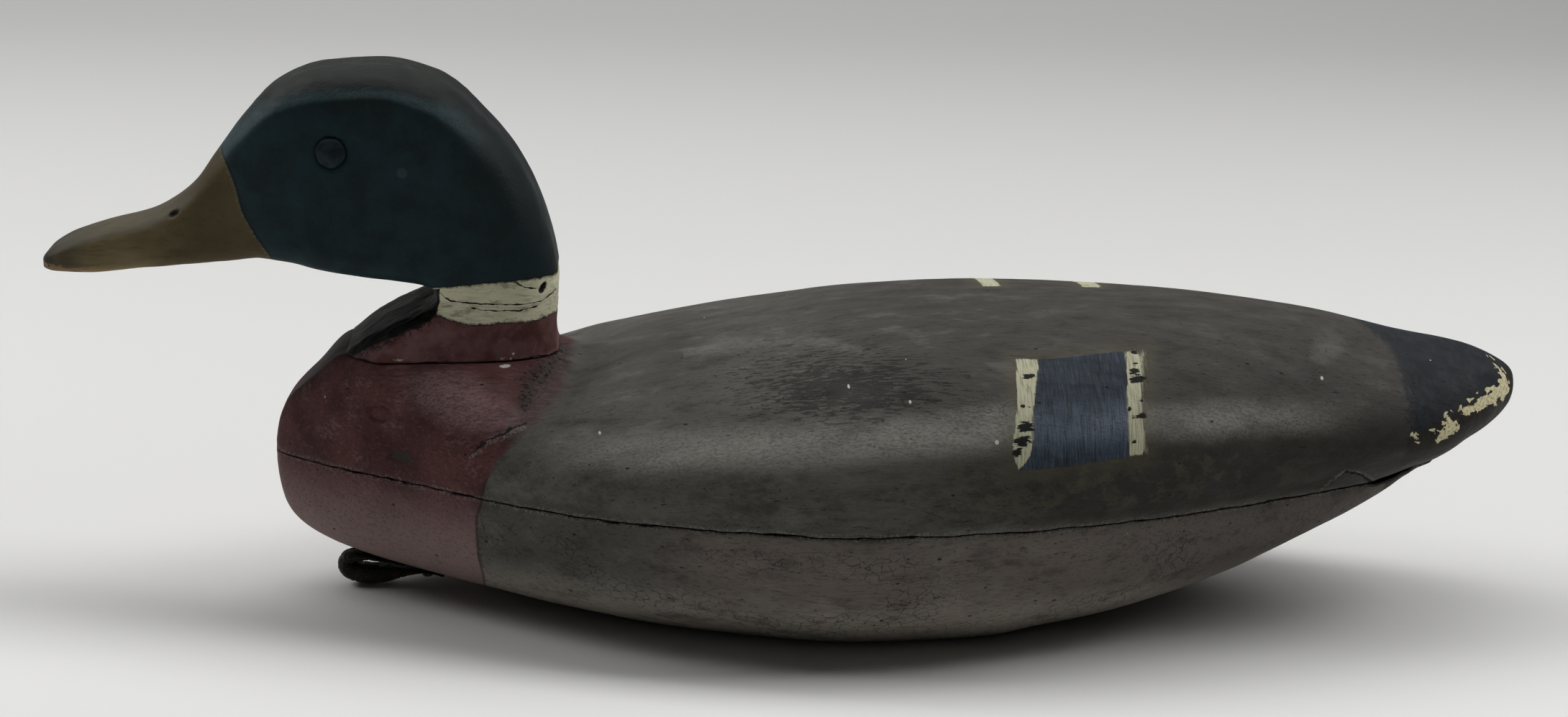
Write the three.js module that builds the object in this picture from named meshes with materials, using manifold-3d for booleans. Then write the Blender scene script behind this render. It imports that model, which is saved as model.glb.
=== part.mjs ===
// Mallard drake decoy: a carved and painted working bird. Millimetres, +Z up.
// X runs from the bill to the tail, +Y is the bird's right side, Z = 0 is the floor under its flat bottom.
// "Aft" is a distance behind the foremost point of the breast. The carved sections are set out along it.

import * as THREE from 'three';
import { mergeVertices } from 'three/addons/utils/BufferGeometryUtils.js';
import Module from 'manifold-3d';

const { clamp, lerp, smoothstep } = THREE.MathUtils;
const wasm = await Module();
wasm.setup();

// Overall sizes
const BODY_LENGTH = 362;      // breast to tail tip, the upper board
const LOWER_LENGTH = 340;     // breast to where the lower board runs out under the tail
const BILL_REACH = 64;        // bill tip ahead of the breast
const LOWER_DEPTH = 40;       // floor to seam
const SEAT_HEIGHT = 32;       // seam to the flat head seat
const FIT_GAP = 0.3;          // hair gap left where two pieces meet
const CENTRE_AFT = (BODY_LENGTH - BILL_REACH) / 2;

// Facets along and around each carved block
const BODY_STATIONS = 48;
const FLANK_FACETS = 3;
const SHOULDER_FACETS = 7;
const BACK_FACETS = 6;
const SEAM_FACETS = 4;
const HULL_FACETS = 20;
const HEAD_STATIONS = 48;
const JAW_FACETS = 4;
const CHEEK_FACETS = 3;
const BROW_FACETS = 5;
const ROUND_FACETS = 20;

// Eye tacks: domed heads, driven into the head and painted over with it
const EYE_AFT = 18.4;
const EYE_HEIGHT = 130.7;
const EYE_SIDE = 23;          // half width of the head at the eye
const EYE_RADIUS = 4.2;
const EYE_SEAT_DEPTH = 0.9;
const EYE_EDGE = 0.7;
const EYE_DOME = 2.3;

// Nail that holds both ends of the line tie against the hull
const NAIL_AFT = 43.5;
const NAIL_RADIUS = 1.7;
const NAIL_DOME = 1;

// A smooth curve through [place, value] points that never overshoots between them
function through(points) {
  const step = points.slice(1).map(([x, y], i) => (y - points[i][1]) / (x - points[i][0]));
  const slope = points.map((_, i) => {
    if (i === 0) return step[0];
    if (i === points.length - 1) return step[i - 1];
    if (step[i - 1] * step[i] <= 0) return 0;
    return 2 * step[i - 1] * step[i] / (step[i - 1] + step[i]);
  });
  return (x) => {
    let i = 0;
    while (i < points.length - 2 && x > points[i + 1][0]) i += 1;
    const [x0, y0] = points[i];
    const [x1, y1] = points[i + 1];
    const t = clamp((x - x0) / (x1 - x0), 0, 1);
    const bend = (x1 - x0) * t * (1 - t);
    return y0 + (y1 - y0) * t * t * (3 - 2 * t) + bend * ((1 - t) * slope[i] - t * slope[i + 1]);
  };
}

// The same along a board whose ends are round: places are spread by angle, so that a value can
// rise upright from either end.
const endAngle = (aft, length) => Math.acos(1 - 2 * clamp(aft / length, 0, 1));

function roundEnded(length, points) {
  const along = through(points.map(([aft, value]) => [endAngle(aft, length), value]));
  return (aft) => along(endAngle(aft, length));
}

const stationAft = (share, length) => length * (1 - Math.cos(Math.PI * share)) / 2;
const toWorld = (aft, side, height) => new THREE.Vector3(aft - CENTRE_AFT, side, height);

// Plan of the bird seen from above: [aft, half width]
const seamHalf = roundEnded(LOWER_LENGTH, [
  [0, 0], [3, 6], [12, 14.5], [34, 30.5], [57, 47], [87, 64.5], [116, 74.5], [160, 82],
  [205, 75.5], [244, 63], [285, 42], [319, 22], [331, 9], [337, 3.5], [LOWER_LENGTH, 0],
]);
const rimHalf = roundEnded(BODY_LENGTH, [
  [0, 0], [3, 6.1], [12, 14.8], [34, 31], [57, 47.5], [87, 65], [116, 75], [160, 82.3],
  [205, 76.3], [244, 65.3], [285, 50.5], [320, 39.5], [336, 32], [350, 20], [358, 9.5], [BODY_LENGTH, 0],
]);

// Profile of the upper board: [aft, height above the seam]
const crest = roundEnded(BODY_LENGTH, [
  [0, 0], [0.6, 6.5], [3, 14], [11.6, 23.7], [21.4, SEAT_HEIGHT], [82, SEAT_HEIGHT],
  [94, 33.2], [107, 35.6], [127, 39.4], [147, 42.4], [168, 45.6], [205, 48.7], [232, 49], [254, 48.6],
  [297, 45], [329, 38.4], [347, 35.2], [357, 31], [BODY_LENGTH, 25.5],
]);
const tailUnder = roundEnded(BODY_LENGTH, [
  [0, 0], [334, 0], [345, 5.5], [354, 11], [360, 16.5], [BODY_LENGTH, 22],
]);

// The widest line of a section, as a share of its height, and how square its shoulders are
const rimShare = through([[0, 0.1], [200, 0.14], [260, 0.2], [300, 0.32], [335, 0.46], [BODY_LENGTH, 0.5]]);
const backRound = through([
  [0, 2.4], [10, 3.2], [22, 4.8], [34, 3.4], [60, 2.5], [100, 2.3], [250, 2.2], [330, 1.8], [BODY_LENGTH, 1.8],
]);
const NAPE_RUN = 28;
const FLANK_BELLY = 0.9;
const TAIL_STRIP = 3.5;       // half width of the flat left along the underside of the tail
const TAIL_STRIP_FADE = 10;

// Profile of the lower board: the depth its round hull would reach without the flat bottom
const keel = roundEnded(LOWER_LENGTH, [
  [0, 0], [3, 16.5], [12, 24.6], [30, 30.8], [60, 36.2], [90, 41], [125, 45.5], [165, 48],
  [200, 47.6], [217, 44.4], [235, 41.4], [271, 31.7], [302, 18.3], [322, 7.9], [334, 2.6], [LOWER_LENGTH, 0],
]);
const hullRound = through([[0, 2.2], [90, 2.3], [165, 2.3], [LOWER_LENGTH, 2]]);

// The dished hollow that runs from behind the neck down to the flank, on both sides
const HOLLOW_DEPTH = 3.2;
const HOLLOW_WIDTH = 11;
const HOLLOW_FADE = 9;
const hollowAft = through([[0, 92], [20, 86], [40, 77], [62, 66]]);
const hollowShare = through([[0, 0.2], [14, 1], [40, 0.9], [62, 0]]);

// Ribs of the head block, from the bill tip over the crown and down the neck to its flat foot. Each is
// a line in the side view from its lower or front end to its upper or back end:
// [lower aft, height, upper aft, height,
//  half width of the flat at the lower end, half width low on the rib, high on it, flat at the upper end,
//  rounding at the lower and upper end, squareness of the lower rounding]
const FOOT = LOWER_DEPTH + SEAT_HEIGHT + 1.5 * FIT_GAP;
const HEAD_RIBS = [
  [-BILL_REACH, 94.8, -BILL_REACH, 96.4, 3, 4.5, 4.5, 3, 0.5, 0.5, 2],
  [-63, 94, -62.8, 98.2, 7, 9.3, 9, 6, 1.5, 1.5, 2],
  [-59, 93.8, -58, 101.4, 10.5, 12.8, 12, 7, 2, 3, 2],
  [-49, 94, -47.5, 105.2, 11.5, 13.8, 12.5, 6, 2.5, 4, 2],
  [-36, 95.2, -33.5, 109.6, 11, 13.6, 12, 4.5, 3, 5, 2],
  [-22, 96.4, -22.5, 117.2, 11, 14.5, 12.5, 4, 3.5, 6, 2],
  [-10, 98.1, -14.5, 128, 13, 17, 14.5, 4, 4, 7, 2],
  [-2, 99.4, -7, 138.4, 15, 20, 17, 5, 5, 8, 2],
  [6, 98.9, 3, 148, 17.5, 22.5, 19, 6, 5.5, 9, 2],
  [14, 97.2, 16, 152.3, 18.5, 24, 20.5, 7, 6, 10, 2],
  [22, 95.8, 31, 153.3, 19, 24.5, 21.5, 7, 6, 10, 2],
  [30, 94.8, 46.4, 149.6, 19.5, 24.5, 22, 7, 5.5, 10.5, 2],
  [37, 94.1, 59.6, 138.9, 19.5, 24.2, 22, 7, 5, 11, 2],
  [41.5, 93.6, 70.1, 126, 19.5, 23.8, 21.5, 7, 4.5, 11.5, 2],
  [44.5, 92.9, 76.8, 111.9, 19.5, 23.4, 21, 7, 4, 12, 2],
  [46.2, 91.7, 80.2, 99, 19.5, 23, 20.5, 7.5, 3.5, 12, 2],
  [46.6, 89.3, 81.2, 91, 19, 22.6, 20, 8, 3.5, 12, 2],
  [44.4, 86.2, 80.9, 86, 19, 23, 20, 8, 4, 12, 1.6],
  [34.6, 81.4, 80.5, 81.2, 18, 25.2, 19.8, 8.5, 6, 14, 1.3],
  [27.4, 77.3, 80.4, 77.2, 17, 26, 19.5, 9, 8, 16, 1.3],
  [23.2, 74, 80.7, 74, 16, 26.4, 19.5, 9, 9, 18, 1.3],
  [21.4, FOOT, 81.3, FOOT, 15.6, 27, 19.5, 9, 10, 20, 1.3],
];
const BROW_SQUARE = 2.2;
const ribCurves = HEAD_RIBS[0].map((_, column) => through(HEAD_RIBS.map((row, i) => [i, row[column]])));

// Leather line tie, one thong folded round into a loop with both ends nailed under the breast:
// [aft, height, half thickness, half width]
const THONG = [
  [48.5, 4.2, 0.5, 3.4], [43.5, 5.5, 0.5, 3.5], [37, 6.7, 0.5, 3.6], [30, 8.1, 0.8, 3.9], [25, 8.9, 1.3, 4.2],
  [20.2, 7.9, 2.3, 4.5], [20.4, 5.2, 2.9, 4.6], [25.5, 3.4, 3.05, 4.6], [31.5, 3.6, 2.7, 4.4],
  [37, 4.1, 1.4, 4], [43.5, 4.4, 0.5, 3.6], [48.5, 3, 0.4, 3.4],
];
const THONG_SIDE = -3;        // the loop hangs a little to the bird's left
const THONG_SQUARE = 2.6;
const THONG_STATIONS = 34;
const THONG_FACETS = 12;

// Share of the full width at a distance in from a rounded end
function bluntness(distance, rounding, square) {
  const left = 1 - Math.min(1, distance / rounding);
  return (1 - left ** square) ** (1 / square);
}

// One rib of the head block: its ends in the side view, and its half width at a distance along it
function headRib(place) {
  const [lowAft, lowHeight, highAft, highHeight, lowFlat, lowHalf, highHalf, highFlat, jawRound, browRound,
    jawSquare] = ribCurves.map((curve) => curve(place));
  const low = new THREE.Vector2(lowAft, lowHeight);
  const high = new THREE.Vector2(highAft, highHeight);
  const reach = low.distanceTo(high);
  const fit = Math.min(1, 0.96 * reach / (jawRound + browRound));
  const jaw = jawRound * fit;
  const brow = browRound * fit;
  const halfAt = (step) => {
    const half = lerp(lowHalf, highHalf, (step / reach) ** 2);
    const offJaw = (half - lowFlat) * (1 - bluntness(step, jaw, jawSquare));
    const offBrow = (half - highFlat) * (1 - bluntness(reach - step, brow, BROW_SQUARE));
    return half - offJaw - offBrow;
  };
  return { low, high, reach, jaw, brow, halfAt };
}

const footRib = headRib(HEAD_RIBS.length - 1);
const seatFront = footRib.low.x;
const seatBack = footRib.high.x;
const breastFacet = footRib.halfAt(0) / rimHalf(seatFront);

// Half width of the flat along the top of the upper board: a facet up the breast that the ramp carries
// on, the head seat itself, and a short run-out behind the neck
function flatHalf(aft) {
  if (aft < seatFront) return breastFacet * rimHalf(aft);
  return footRib.halfAt(Math.min(aft - seatFront, footRib.reach)) * (1 - smoothstep(aft, seatBack, seatBack + NAPE_RUN));
}

// Height at which the section would close over. The back is sprung so that it meets the edge of the flat.
function crownOf(aft) {
  const round = backRound(aft);
  const edge = (1 - (flatHalf(aft) / rimHalf(aft)) ** round) ** (1 / round);
  const share = rimShare(aft);
  const under = tailUnder(aft);
  return under + (crest(aft) - under) / (share + (1 - share) * edge);
}

function hollowAt(aft, side) {
  const out = Math.abs(side);
  const away = (aft - hollowAft(out)) / HOLLOW_WIDTH;
  const beside = Math.max(0, out - footRib.halfAt(clamp(aft - seatFront, 0, footRib.reach)));
  const clear = smoothstep(Math.hypot(beside, Math.max(0, aft - seatBack)), 0, HOLLOW_FADE);
  return HOLLOW_DEPTH * hollowShare(out) * clear * Math.exp(-away * away);
}

// Height of the carved top over the seam
function backHeight(aft, side) {
  const under = tailUnder(aft);
  const crown = crownOf(aft);
  const rim = under + rimShare(aft) * (crown - under);
  const out = Math.min(1, Math.max(Math.abs(side), flatHalf(aft)) / rimHalf(aft));
  const round = backRound(aft);
  return rim + (crown - rim) * (1 - out ** round) ** (1 / round) - hollowAt(aft, side);
}

// Half width of the flat where the upper board meets the lower one, or of the strip under the tail
function footHalf(aft) {
  const strip = TAIL_STRIP * Math.sqrt(clamp((BODY_LENGTH - aft) / TAIL_STRIP_FADE, 0, 1));
  return Math.max(aft < LOWER_LENGTH ? seamHalf(aft) : 0, Math.min(strip, rimHalf(aft) / 2));
}

// One cross-section of the upper board, up the near flank, over the back and down the far flank
function upperRing(aft) {
  const under = tailUnder(aft);
  const rim = under + rimShare(aft) * (crownOf(aft) - under);
  const half = rimHalf(aft);
  const split = Math.max(flatHalf(aft), half / 2 * smoothstep(aft, seatBack, seatBack + 2 * NAPE_RUN));
  const flank = (share) => {
    const side = lerp(footHalf(aft), half, Math.sin(share * Math.PI / 2) ** FLANK_BELLY);
    return [side, lerp(under, rim, share)];
  };
  const climb = [];
  for (let i = 0; i < FLANK_FACETS; i += 1) climb.push(flank(i / FLANK_FACETS));
  for (let i = 0; i < SHOULDER_FACETS; i += 1) {
    const out = Math.cos(Math.PI / 2 * i / SHOULDER_FACETS) ** (2 / backRound(aft));
    const side = lerp(split, half, out);
    climb.push([side, i === 0 ? rim : backHeight(aft, side)]);
  }
  const near = climb.map(([side, height]) => [-side, height]);
  const back = [];
  for (let i = 0; i <= BACK_FACETS; i += 1) {
    const side = split * (2 * i / BACK_FACETS - 1);
    back.push([side, backHeight(aft, side)]);
  }
  const far = climb.slice().reverse();
  const base = [];
  for (let i = 1; i < SEAM_FACETS; i += 1) base.push([footHalf(aft) * (1 - 2 * i / SEAM_FACETS), under]);
  const floor = LOWER_DEPTH + FIT_GAP / 2;
  return [...near, ...back, ...far, ...base].map(([side, height]) => toWorld(aft, side, floor + height));
}

// One cross-section of the lower board, a round hull planed flat on the floor
function lowerRing(aft) {
  const half = seamHalf(aft);
  const top = LOWER_DEPTH - FIT_GAP / 2;
  const power = 2 / hullRound(aft);
  const ring = [];
  for (let i = 0; i < SEAM_FACETS; i += 1) ring.push(toWorld(aft, -half * (1 - 2 * i / SEAM_FACETS), top));
  for (let i = 0; i < HULL_FACETS; i += 1) {
    const turn = Math.PI * i / HULL_FACETS;
    const out = Math.sign(Math.cos(turn)) * Math.abs(Math.cos(turn)) ** power;
    const depth = keel(aft) * Math.sin(turn) ** power;
    ring.push(toWorld(aft, half * out, Math.max(top - depth, 0)));
  }
  return ring;
}

// One rib of the head block as a closed ring, up the near side and down the far side
function headRing(place) {
  const { low, high, reach, jaw, brow, halfAt } = headRib(place);
  const steps = [];
  for (let i = 0; i < JAW_FACETS; i += 1) steps.push(jaw * (1 - Math.cos(Math.PI / 2 * i / JAW_FACETS)));
  for (let i = 0; i < CHEEK_FACETS; i += 1) steps.push(lerp(jaw, reach - brow, i / CHEEK_FACETS));
  for (let i = 0; i <= BROW_FACETS; i += 1) steps.push(reach - brow * (1 - Math.sin(Math.PI / 2 * i / BROW_FACETS)));
  const outline = steps.map((step) => {
    const along = low.clone().lerp(high, step / reach);
    return [along.x, halfAt(step), along.y];
  });
  const near = outline.map(([aft, half, height]) => toWorld(aft, -half, height));
  const far = outline.reverse().map(([aft, half, height]) => toWorld(aft, half, height));
  return [toWorld(low.x, 0, low.y), ...near, toWorld(high.x, 0, high.y), ...far];
}

// One cross-section of the thong, square to its path
function thongRing(path, thick, wide, share) {
  const centre = path.getPoint(share);
  const along = path.getTangent(share);
  const outward = new THREE.Vector3(-along.z, 0, along.x).normalize();
  const ring = [];
  const power = 2 / THONG_SQUARE;
  const squared = (value) => Math.sign(value) * Math.abs(value) ** power;
  for (let i = 0; i < THONG_FACETS; i += 1) {
    const turn = 2 * Math.PI * i / THONG_FACETS;
    const offset = outward.clone().multiplyScalar(thick(share) * squared(Math.sin(turn)));
    offset.y = -wide(share) * squared(Math.cos(turn));
    ring.push(centre.clone().add(offset));
  }
  return ring;
}

// A closed solid over rings of equal length, capped at both ends
function loft(rings) {
  const around = rings[0].length;
  const middle = (ring) => ring.reduce((sum, p) => sum.add(p), new THREE.Vector3()).divideScalar(around);
  const points = rings.flat();
  const first = points.push(middle(rings[0])) - 1;
  const last = points.push(middle(rings[rings.length - 1])) - 1;
  const end = (rings.length - 1) * around;
  const index = [];
  for (let j = 0; j < around; j += 1) {
    const k = (j + 1) % around;
    index.push(first, j, k);
    for (let a = 0; a < end; a += around) {
      const b = a + around;
      index.push(a + j, b + j, a + k, a + k, b + j, b + k);
    }
    index.push(last, end + k, end + j);
  }
  const geometry = new THREE.BufferGeometry().setFromPoints(points);
  geometry.setIndex(index);
  return geometry;
}

// Stations crowd towards both ends of a board, and two of them are set at the ends of the head seat.
function bodyGeometry(length, ringAt, firstShare, edges = []) {
  const afts = [...edges];
  for (let i = 0; i <= BODY_STATIONS; i += 1) {
    const aft = stationAft(lerp(firstShare, 1 - firstShare, i / BODY_STATIONS), length);
    if (edges.every((edge) => Math.abs(edge - aft) > 1)) afts.push(aft);
  }
  afts.sort((a, b) => a - b);
  return loft(afts.map(ringAt));
}

// Booleans
function toSolid(geometry) {
  const bare = geometry.clone();
  bare.deleteAttribute('normal');
  bare.deleteAttribute('uv');
  const merged = mergeVertices(bare, 1e-4);
  return new wasm.Manifold(new wasm.Mesh({
    numProp: 3,
    vertProperties: Float32Array.from(merged.attributes.position.array),
    triVerts: Uint32Array.from(merged.index.array),
  }));
}

function toGeometry(solid) {
  const { vertProperties, triVerts } = solid.getMesh();
  const geometry = new THREE.BufferGeometry();
  geometry.setAttribute('position', new THREE.BufferAttribute(new Float32Array(vertProperties), 3));
  geometry.setIndex(new THREE.BufferAttribute(new Uint32Array(triVerts), 1));
  return geometry;
}

// A low domed disc about +Y, with its flat face at y = 0
function domedHead(radius, edge, dome) {
  const profile = [new THREE.Vector2(0, 0), new THREE.Vector2(radius, 0)];
  const rise = dome - edge;
  for (let i = 0; i <= 4; i += 1) {
    const turn = Math.PI / 2 * i / 4;
    profile.push(new THREE.Vector2(i === 4 ? 0 : radius * Math.cos(turn), edge + rise * Math.sin(turn)));
  }
  return new THREE.LatheGeometry(profile, ROUND_FACETS);
}

function headGeometry() {
  const rings = [];
  for (let i = 0; i <= HEAD_STATIONS; i += 1) rings.push(headRing((HEAD_RIBS.length - 1) * i / HEAD_STATIONS));
  let block = toSolid(loft(rings));
  for (const side of [-1, 1]) {
    const depth = 2 * EYE_RADIUS;
    const bore = new THREE.CylinderGeometry(EYE_RADIUS + FIT_GAP, EYE_RADIUS + FIT_GAP, depth, ROUND_FACETS);
    bore.translate(0, side * (EYE_SIDE - EYE_SEAT_DEPTH + depth / 2), 0);
    const place = toWorld(EYE_AFT, 0, EYE_HEIGHT);
    bore.translate(place.x, place.y, place.z);
    block = block.subtract(toSolid(bore));
  }
  return toGeometry(block);
}

function thongGeometry() {
  const path = new THREE.CatmullRomCurve3(THONG.map(([aft, height]) => toWorld(aft, THONG_SIDE, height)));
  const last = THONG.length - 1;
  const thick = through(THONG.map((row, i) => [i / last, row[2]]));
  const wide = through(THONG.map((row, i) => [i / last, row[3]]));
  const rings = [];
  for (let i = 0; i <= THONG_STATIONS; i += 1) rings.push(thongRing(path, thick, wide, i / THONG_STATIONS));
  return loft(rings);
}

function piece(name, geometry, colour, roughness, metalness = 0) {
  const material = new THREE.MeshStandardMaterial({ color: colour, roughness, metalness });
  const mesh = new THREE.Mesh(geometry, material);
  mesh.name = name;
  return mesh;
}

function eyeTack(name, side) {
  const tack = piece(name, domedHead(EYE_RADIUS, EYE_EDGE, EYE_DOME), 0x161c20, 0.45, 0.2);
  tack.position.copy(toWorld(EYE_AFT, side * (EYE_SIDE - EYE_SEAT_DEPTH + FIT_GAP), EYE_HEIGHT));
  if (side < 0) tack.rotation.x = Math.PI;
  return tack;
}

function tieNail() {
  const nail = piece('line_tie_nail', domedHead(NAIL_RADIUS, NAIL_DOME / 3, NAIL_DOME), 0x8b8780, 0.5, 0.8);
  const [, height, thick] = THONG.find(([aft, z]) => aft === NAIL_AFT && z < 5);
  nail.position.copy(toWorld(NAIL_AFT, THONG_SIDE, height - thick - 2 * FIT_GAP));
  nail.rotation.x = -Math.PI / 2;
  return nail;
}

const decoy = new THREE.Group();
const upper = bodyGeometry(BODY_LENGTH, upperRing, 0.012, [seatFront, seatBack]);
decoy.add(piece('upper_body', upper, 0x4d4744, 0.6));
decoy.add(piece('lower_body', bodyGeometry(LOWER_LENGTH, lowerRing, 0.012), 0x4a4744, 0.6));
decoy.add(piece('head', headGeometry(), 0x14232a, 0.5));
decoy.add(eyeTack('left_eye_tack', -1));
decoy.add(eyeTack('right_eye_tack', 1));
decoy.add(piece('line_tie_loop', thongGeometry(), 0x241f1c, 0.55));
decoy.add(tieNail());

export default decoy;
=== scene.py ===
# Looks for the mallard drake decoy. The carved boards and the head are lofted again from the part's own
# curves, finely enough to carry dents, chips and cracks, and painted with procedural materials.
# Curves are in millimetres: "aft" runs from the breast to the tail, "side" is + to the bird's right,
# "height" is over the floor.

import math

import bmesh
import bpy
import numpy as np
from mathutils import Matrix, Vector


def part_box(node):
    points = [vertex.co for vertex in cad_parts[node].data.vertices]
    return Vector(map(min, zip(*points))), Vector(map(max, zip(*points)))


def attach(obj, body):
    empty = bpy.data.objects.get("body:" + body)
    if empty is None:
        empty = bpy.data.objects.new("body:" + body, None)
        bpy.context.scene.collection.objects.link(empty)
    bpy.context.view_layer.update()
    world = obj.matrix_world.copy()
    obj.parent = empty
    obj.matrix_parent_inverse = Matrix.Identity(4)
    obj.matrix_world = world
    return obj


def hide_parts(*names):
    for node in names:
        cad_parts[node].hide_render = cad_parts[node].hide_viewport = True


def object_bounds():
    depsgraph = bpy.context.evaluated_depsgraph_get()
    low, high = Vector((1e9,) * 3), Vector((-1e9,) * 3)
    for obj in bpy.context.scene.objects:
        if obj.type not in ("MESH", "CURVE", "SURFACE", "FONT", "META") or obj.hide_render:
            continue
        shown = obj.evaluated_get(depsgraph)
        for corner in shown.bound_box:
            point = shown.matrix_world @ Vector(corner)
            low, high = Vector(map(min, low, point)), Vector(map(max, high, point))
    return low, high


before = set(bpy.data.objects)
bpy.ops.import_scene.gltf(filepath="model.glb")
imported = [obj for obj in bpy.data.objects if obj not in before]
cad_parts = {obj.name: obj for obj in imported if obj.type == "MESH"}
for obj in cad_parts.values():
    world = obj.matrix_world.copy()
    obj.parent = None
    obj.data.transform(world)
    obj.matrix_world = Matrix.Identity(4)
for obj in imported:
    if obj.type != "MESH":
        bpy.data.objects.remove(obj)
cad_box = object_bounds()

# Overall sizes, as in the part's source
BODY_LENGTH = 362.0
LOWER_LENGTH = 340.0
BILL_REACH = 64.0
LOWER_DEPTH = 40.0
SEAT_HEIGHT = 32.0
FIT_GAP = 0.3
CENTRE_AFT = (BODY_LENGTH - BILL_REACH) / 2
MM = 0.001


# Smooth curves

def through(points):
    """A curve through (place, value) points that never overshoots between them."""
    x, y = np.array(points, float).T
    step = np.diff(y) / np.diff(x)
    before, after = step[:-1], step[1:]
    same_way = before * after > 0
    total = np.where(same_way, before + after, 1)
    slope = np.concatenate([step[:1], np.where(same_way, 2 * before * after / total, 0), step[-1:]])

    def curve(at):
        at = np.clip(at, x[0], x[-1])
        i = np.clip(np.searchsorted(x, at, side="right") - 1, 0, len(x) - 2)
        width = x[i + 1] - x[i]
        t = (at - x[i]) / width
        bend = width * t * (1 - t)
        return y[i] + (y[i + 1] - y[i]) * t * t * (3 - 2 * t) + bend * ((1 - t) * slope[i] - t * slope[i + 1])

    return curve


def end_angle(aft, length):
    return np.arccos(1 - 2 * np.clip(aft / length, 0, 1))


def round_ended(length, points):
    """The same along a board with round ends: places are spread by angle."""
    along = through([(end_angle(aft, length), value) for aft, value in points])
    return lambda aft: along(end_angle(aft, length))


def smoothstep(value, low, high):
    t = np.clip((value - low) / (high - low), 0, 1)
    return t * t * (3 - 2 * t)


def lerp(a, b, t):
    return a + (b - a) * t


def bluntness(distance, rounding, square):
    left = 1 - np.minimum(1, distance / rounding)
    return (1 - left ** square) ** (1 / square)


# Plan and profile of the boards
seam_half = round_ended(LOWER_LENGTH, [
    (0, 0), (3, 6), (12, 14.5), (34, 30.5), (57, 47), (87, 64.5), (116, 74.5), (160, 82),
    (205, 75.5), (244, 63), (285, 42), (319, 22), (331, 9), (337, 3.5), (LOWER_LENGTH, 0),
])
rim_half = round_ended(BODY_LENGTH, [
    (0, 0), (3, 6.1), (12, 14.8), (34, 31), (57, 47.5), (87, 65), (116, 75), (160, 82.3),
    (205, 76.3), (244, 65.3), (285, 50.5), (320, 39.5), (336, 32), (350, 20), (358, 9.5), (BODY_LENGTH, 0),
])
crest = round_ended(BODY_LENGTH, [
    (0, 0), (0.6, 6.5), (3, 14), (11.6, 23.7), (21.4, SEAT_HEIGHT), (82, SEAT_HEIGHT),
    (94, 33.2), (107, 35.6), (127, 39.4), (147, 42.4), (168, 45.6), (205, 48.7), (232, 49), (254, 48.6),
    (297, 45), (329, 38.4), (347, 35.2), (357, 31), (BODY_LENGTH, 25.5),
])
tail_under = round_ended(BODY_LENGTH, [
    (0, 0), (334, 0), (345, 5.5), (354, 11), (360, 16.5), (BODY_LENGTH, 22),
])
rim_share = through([(0, 0.1), (200, 0.14), (260, 0.2), (300, 0.32), (335, 0.46), (BODY_LENGTH, 0.5)])
back_round = through([
    (0, 2.4), (10, 3.2), (22, 4.8), (34, 3.4), (60, 2.5), (100, 2.3), (250, 2.2), (330, 1.8), (BODY_LENGTH, 1.8),
])
NAPE_RUN = 28
FLANK_BELLY = 0.9
TAIL_STRIP = 3.5
TAIL_STRIP_FADE = 10
keel = round_ended(LOWER_LENGTH, [
    (0, 0), (3, 16.5), (12, 24.6), (30, 30.8), (60, 36.2), (90, 41), (125, 45.5), (165, 48),
    (200, 47.6), (217, 44.4), (235, 41.4), (271, 31.7), (302, 18.3), (322, 7.9), (334, 2.6), (LOWER_LENGTH, 0),
])
hull_round = through([(0, 2.2), (90, 2.3), (165, 2.3), (LOWER_LENGTH, 2)])
HOLLOW_DEPTH = 3.2
HOLLOW_WIDTH = 11
HOLLOW_FADE = 9
hollow_aft = through([(0, 92), (20, 86), (40, 77), (62, 66)])
hollow_share = through([(0, 0.2), (14, 1), (40, 0.9), (62, 0)])

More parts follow.
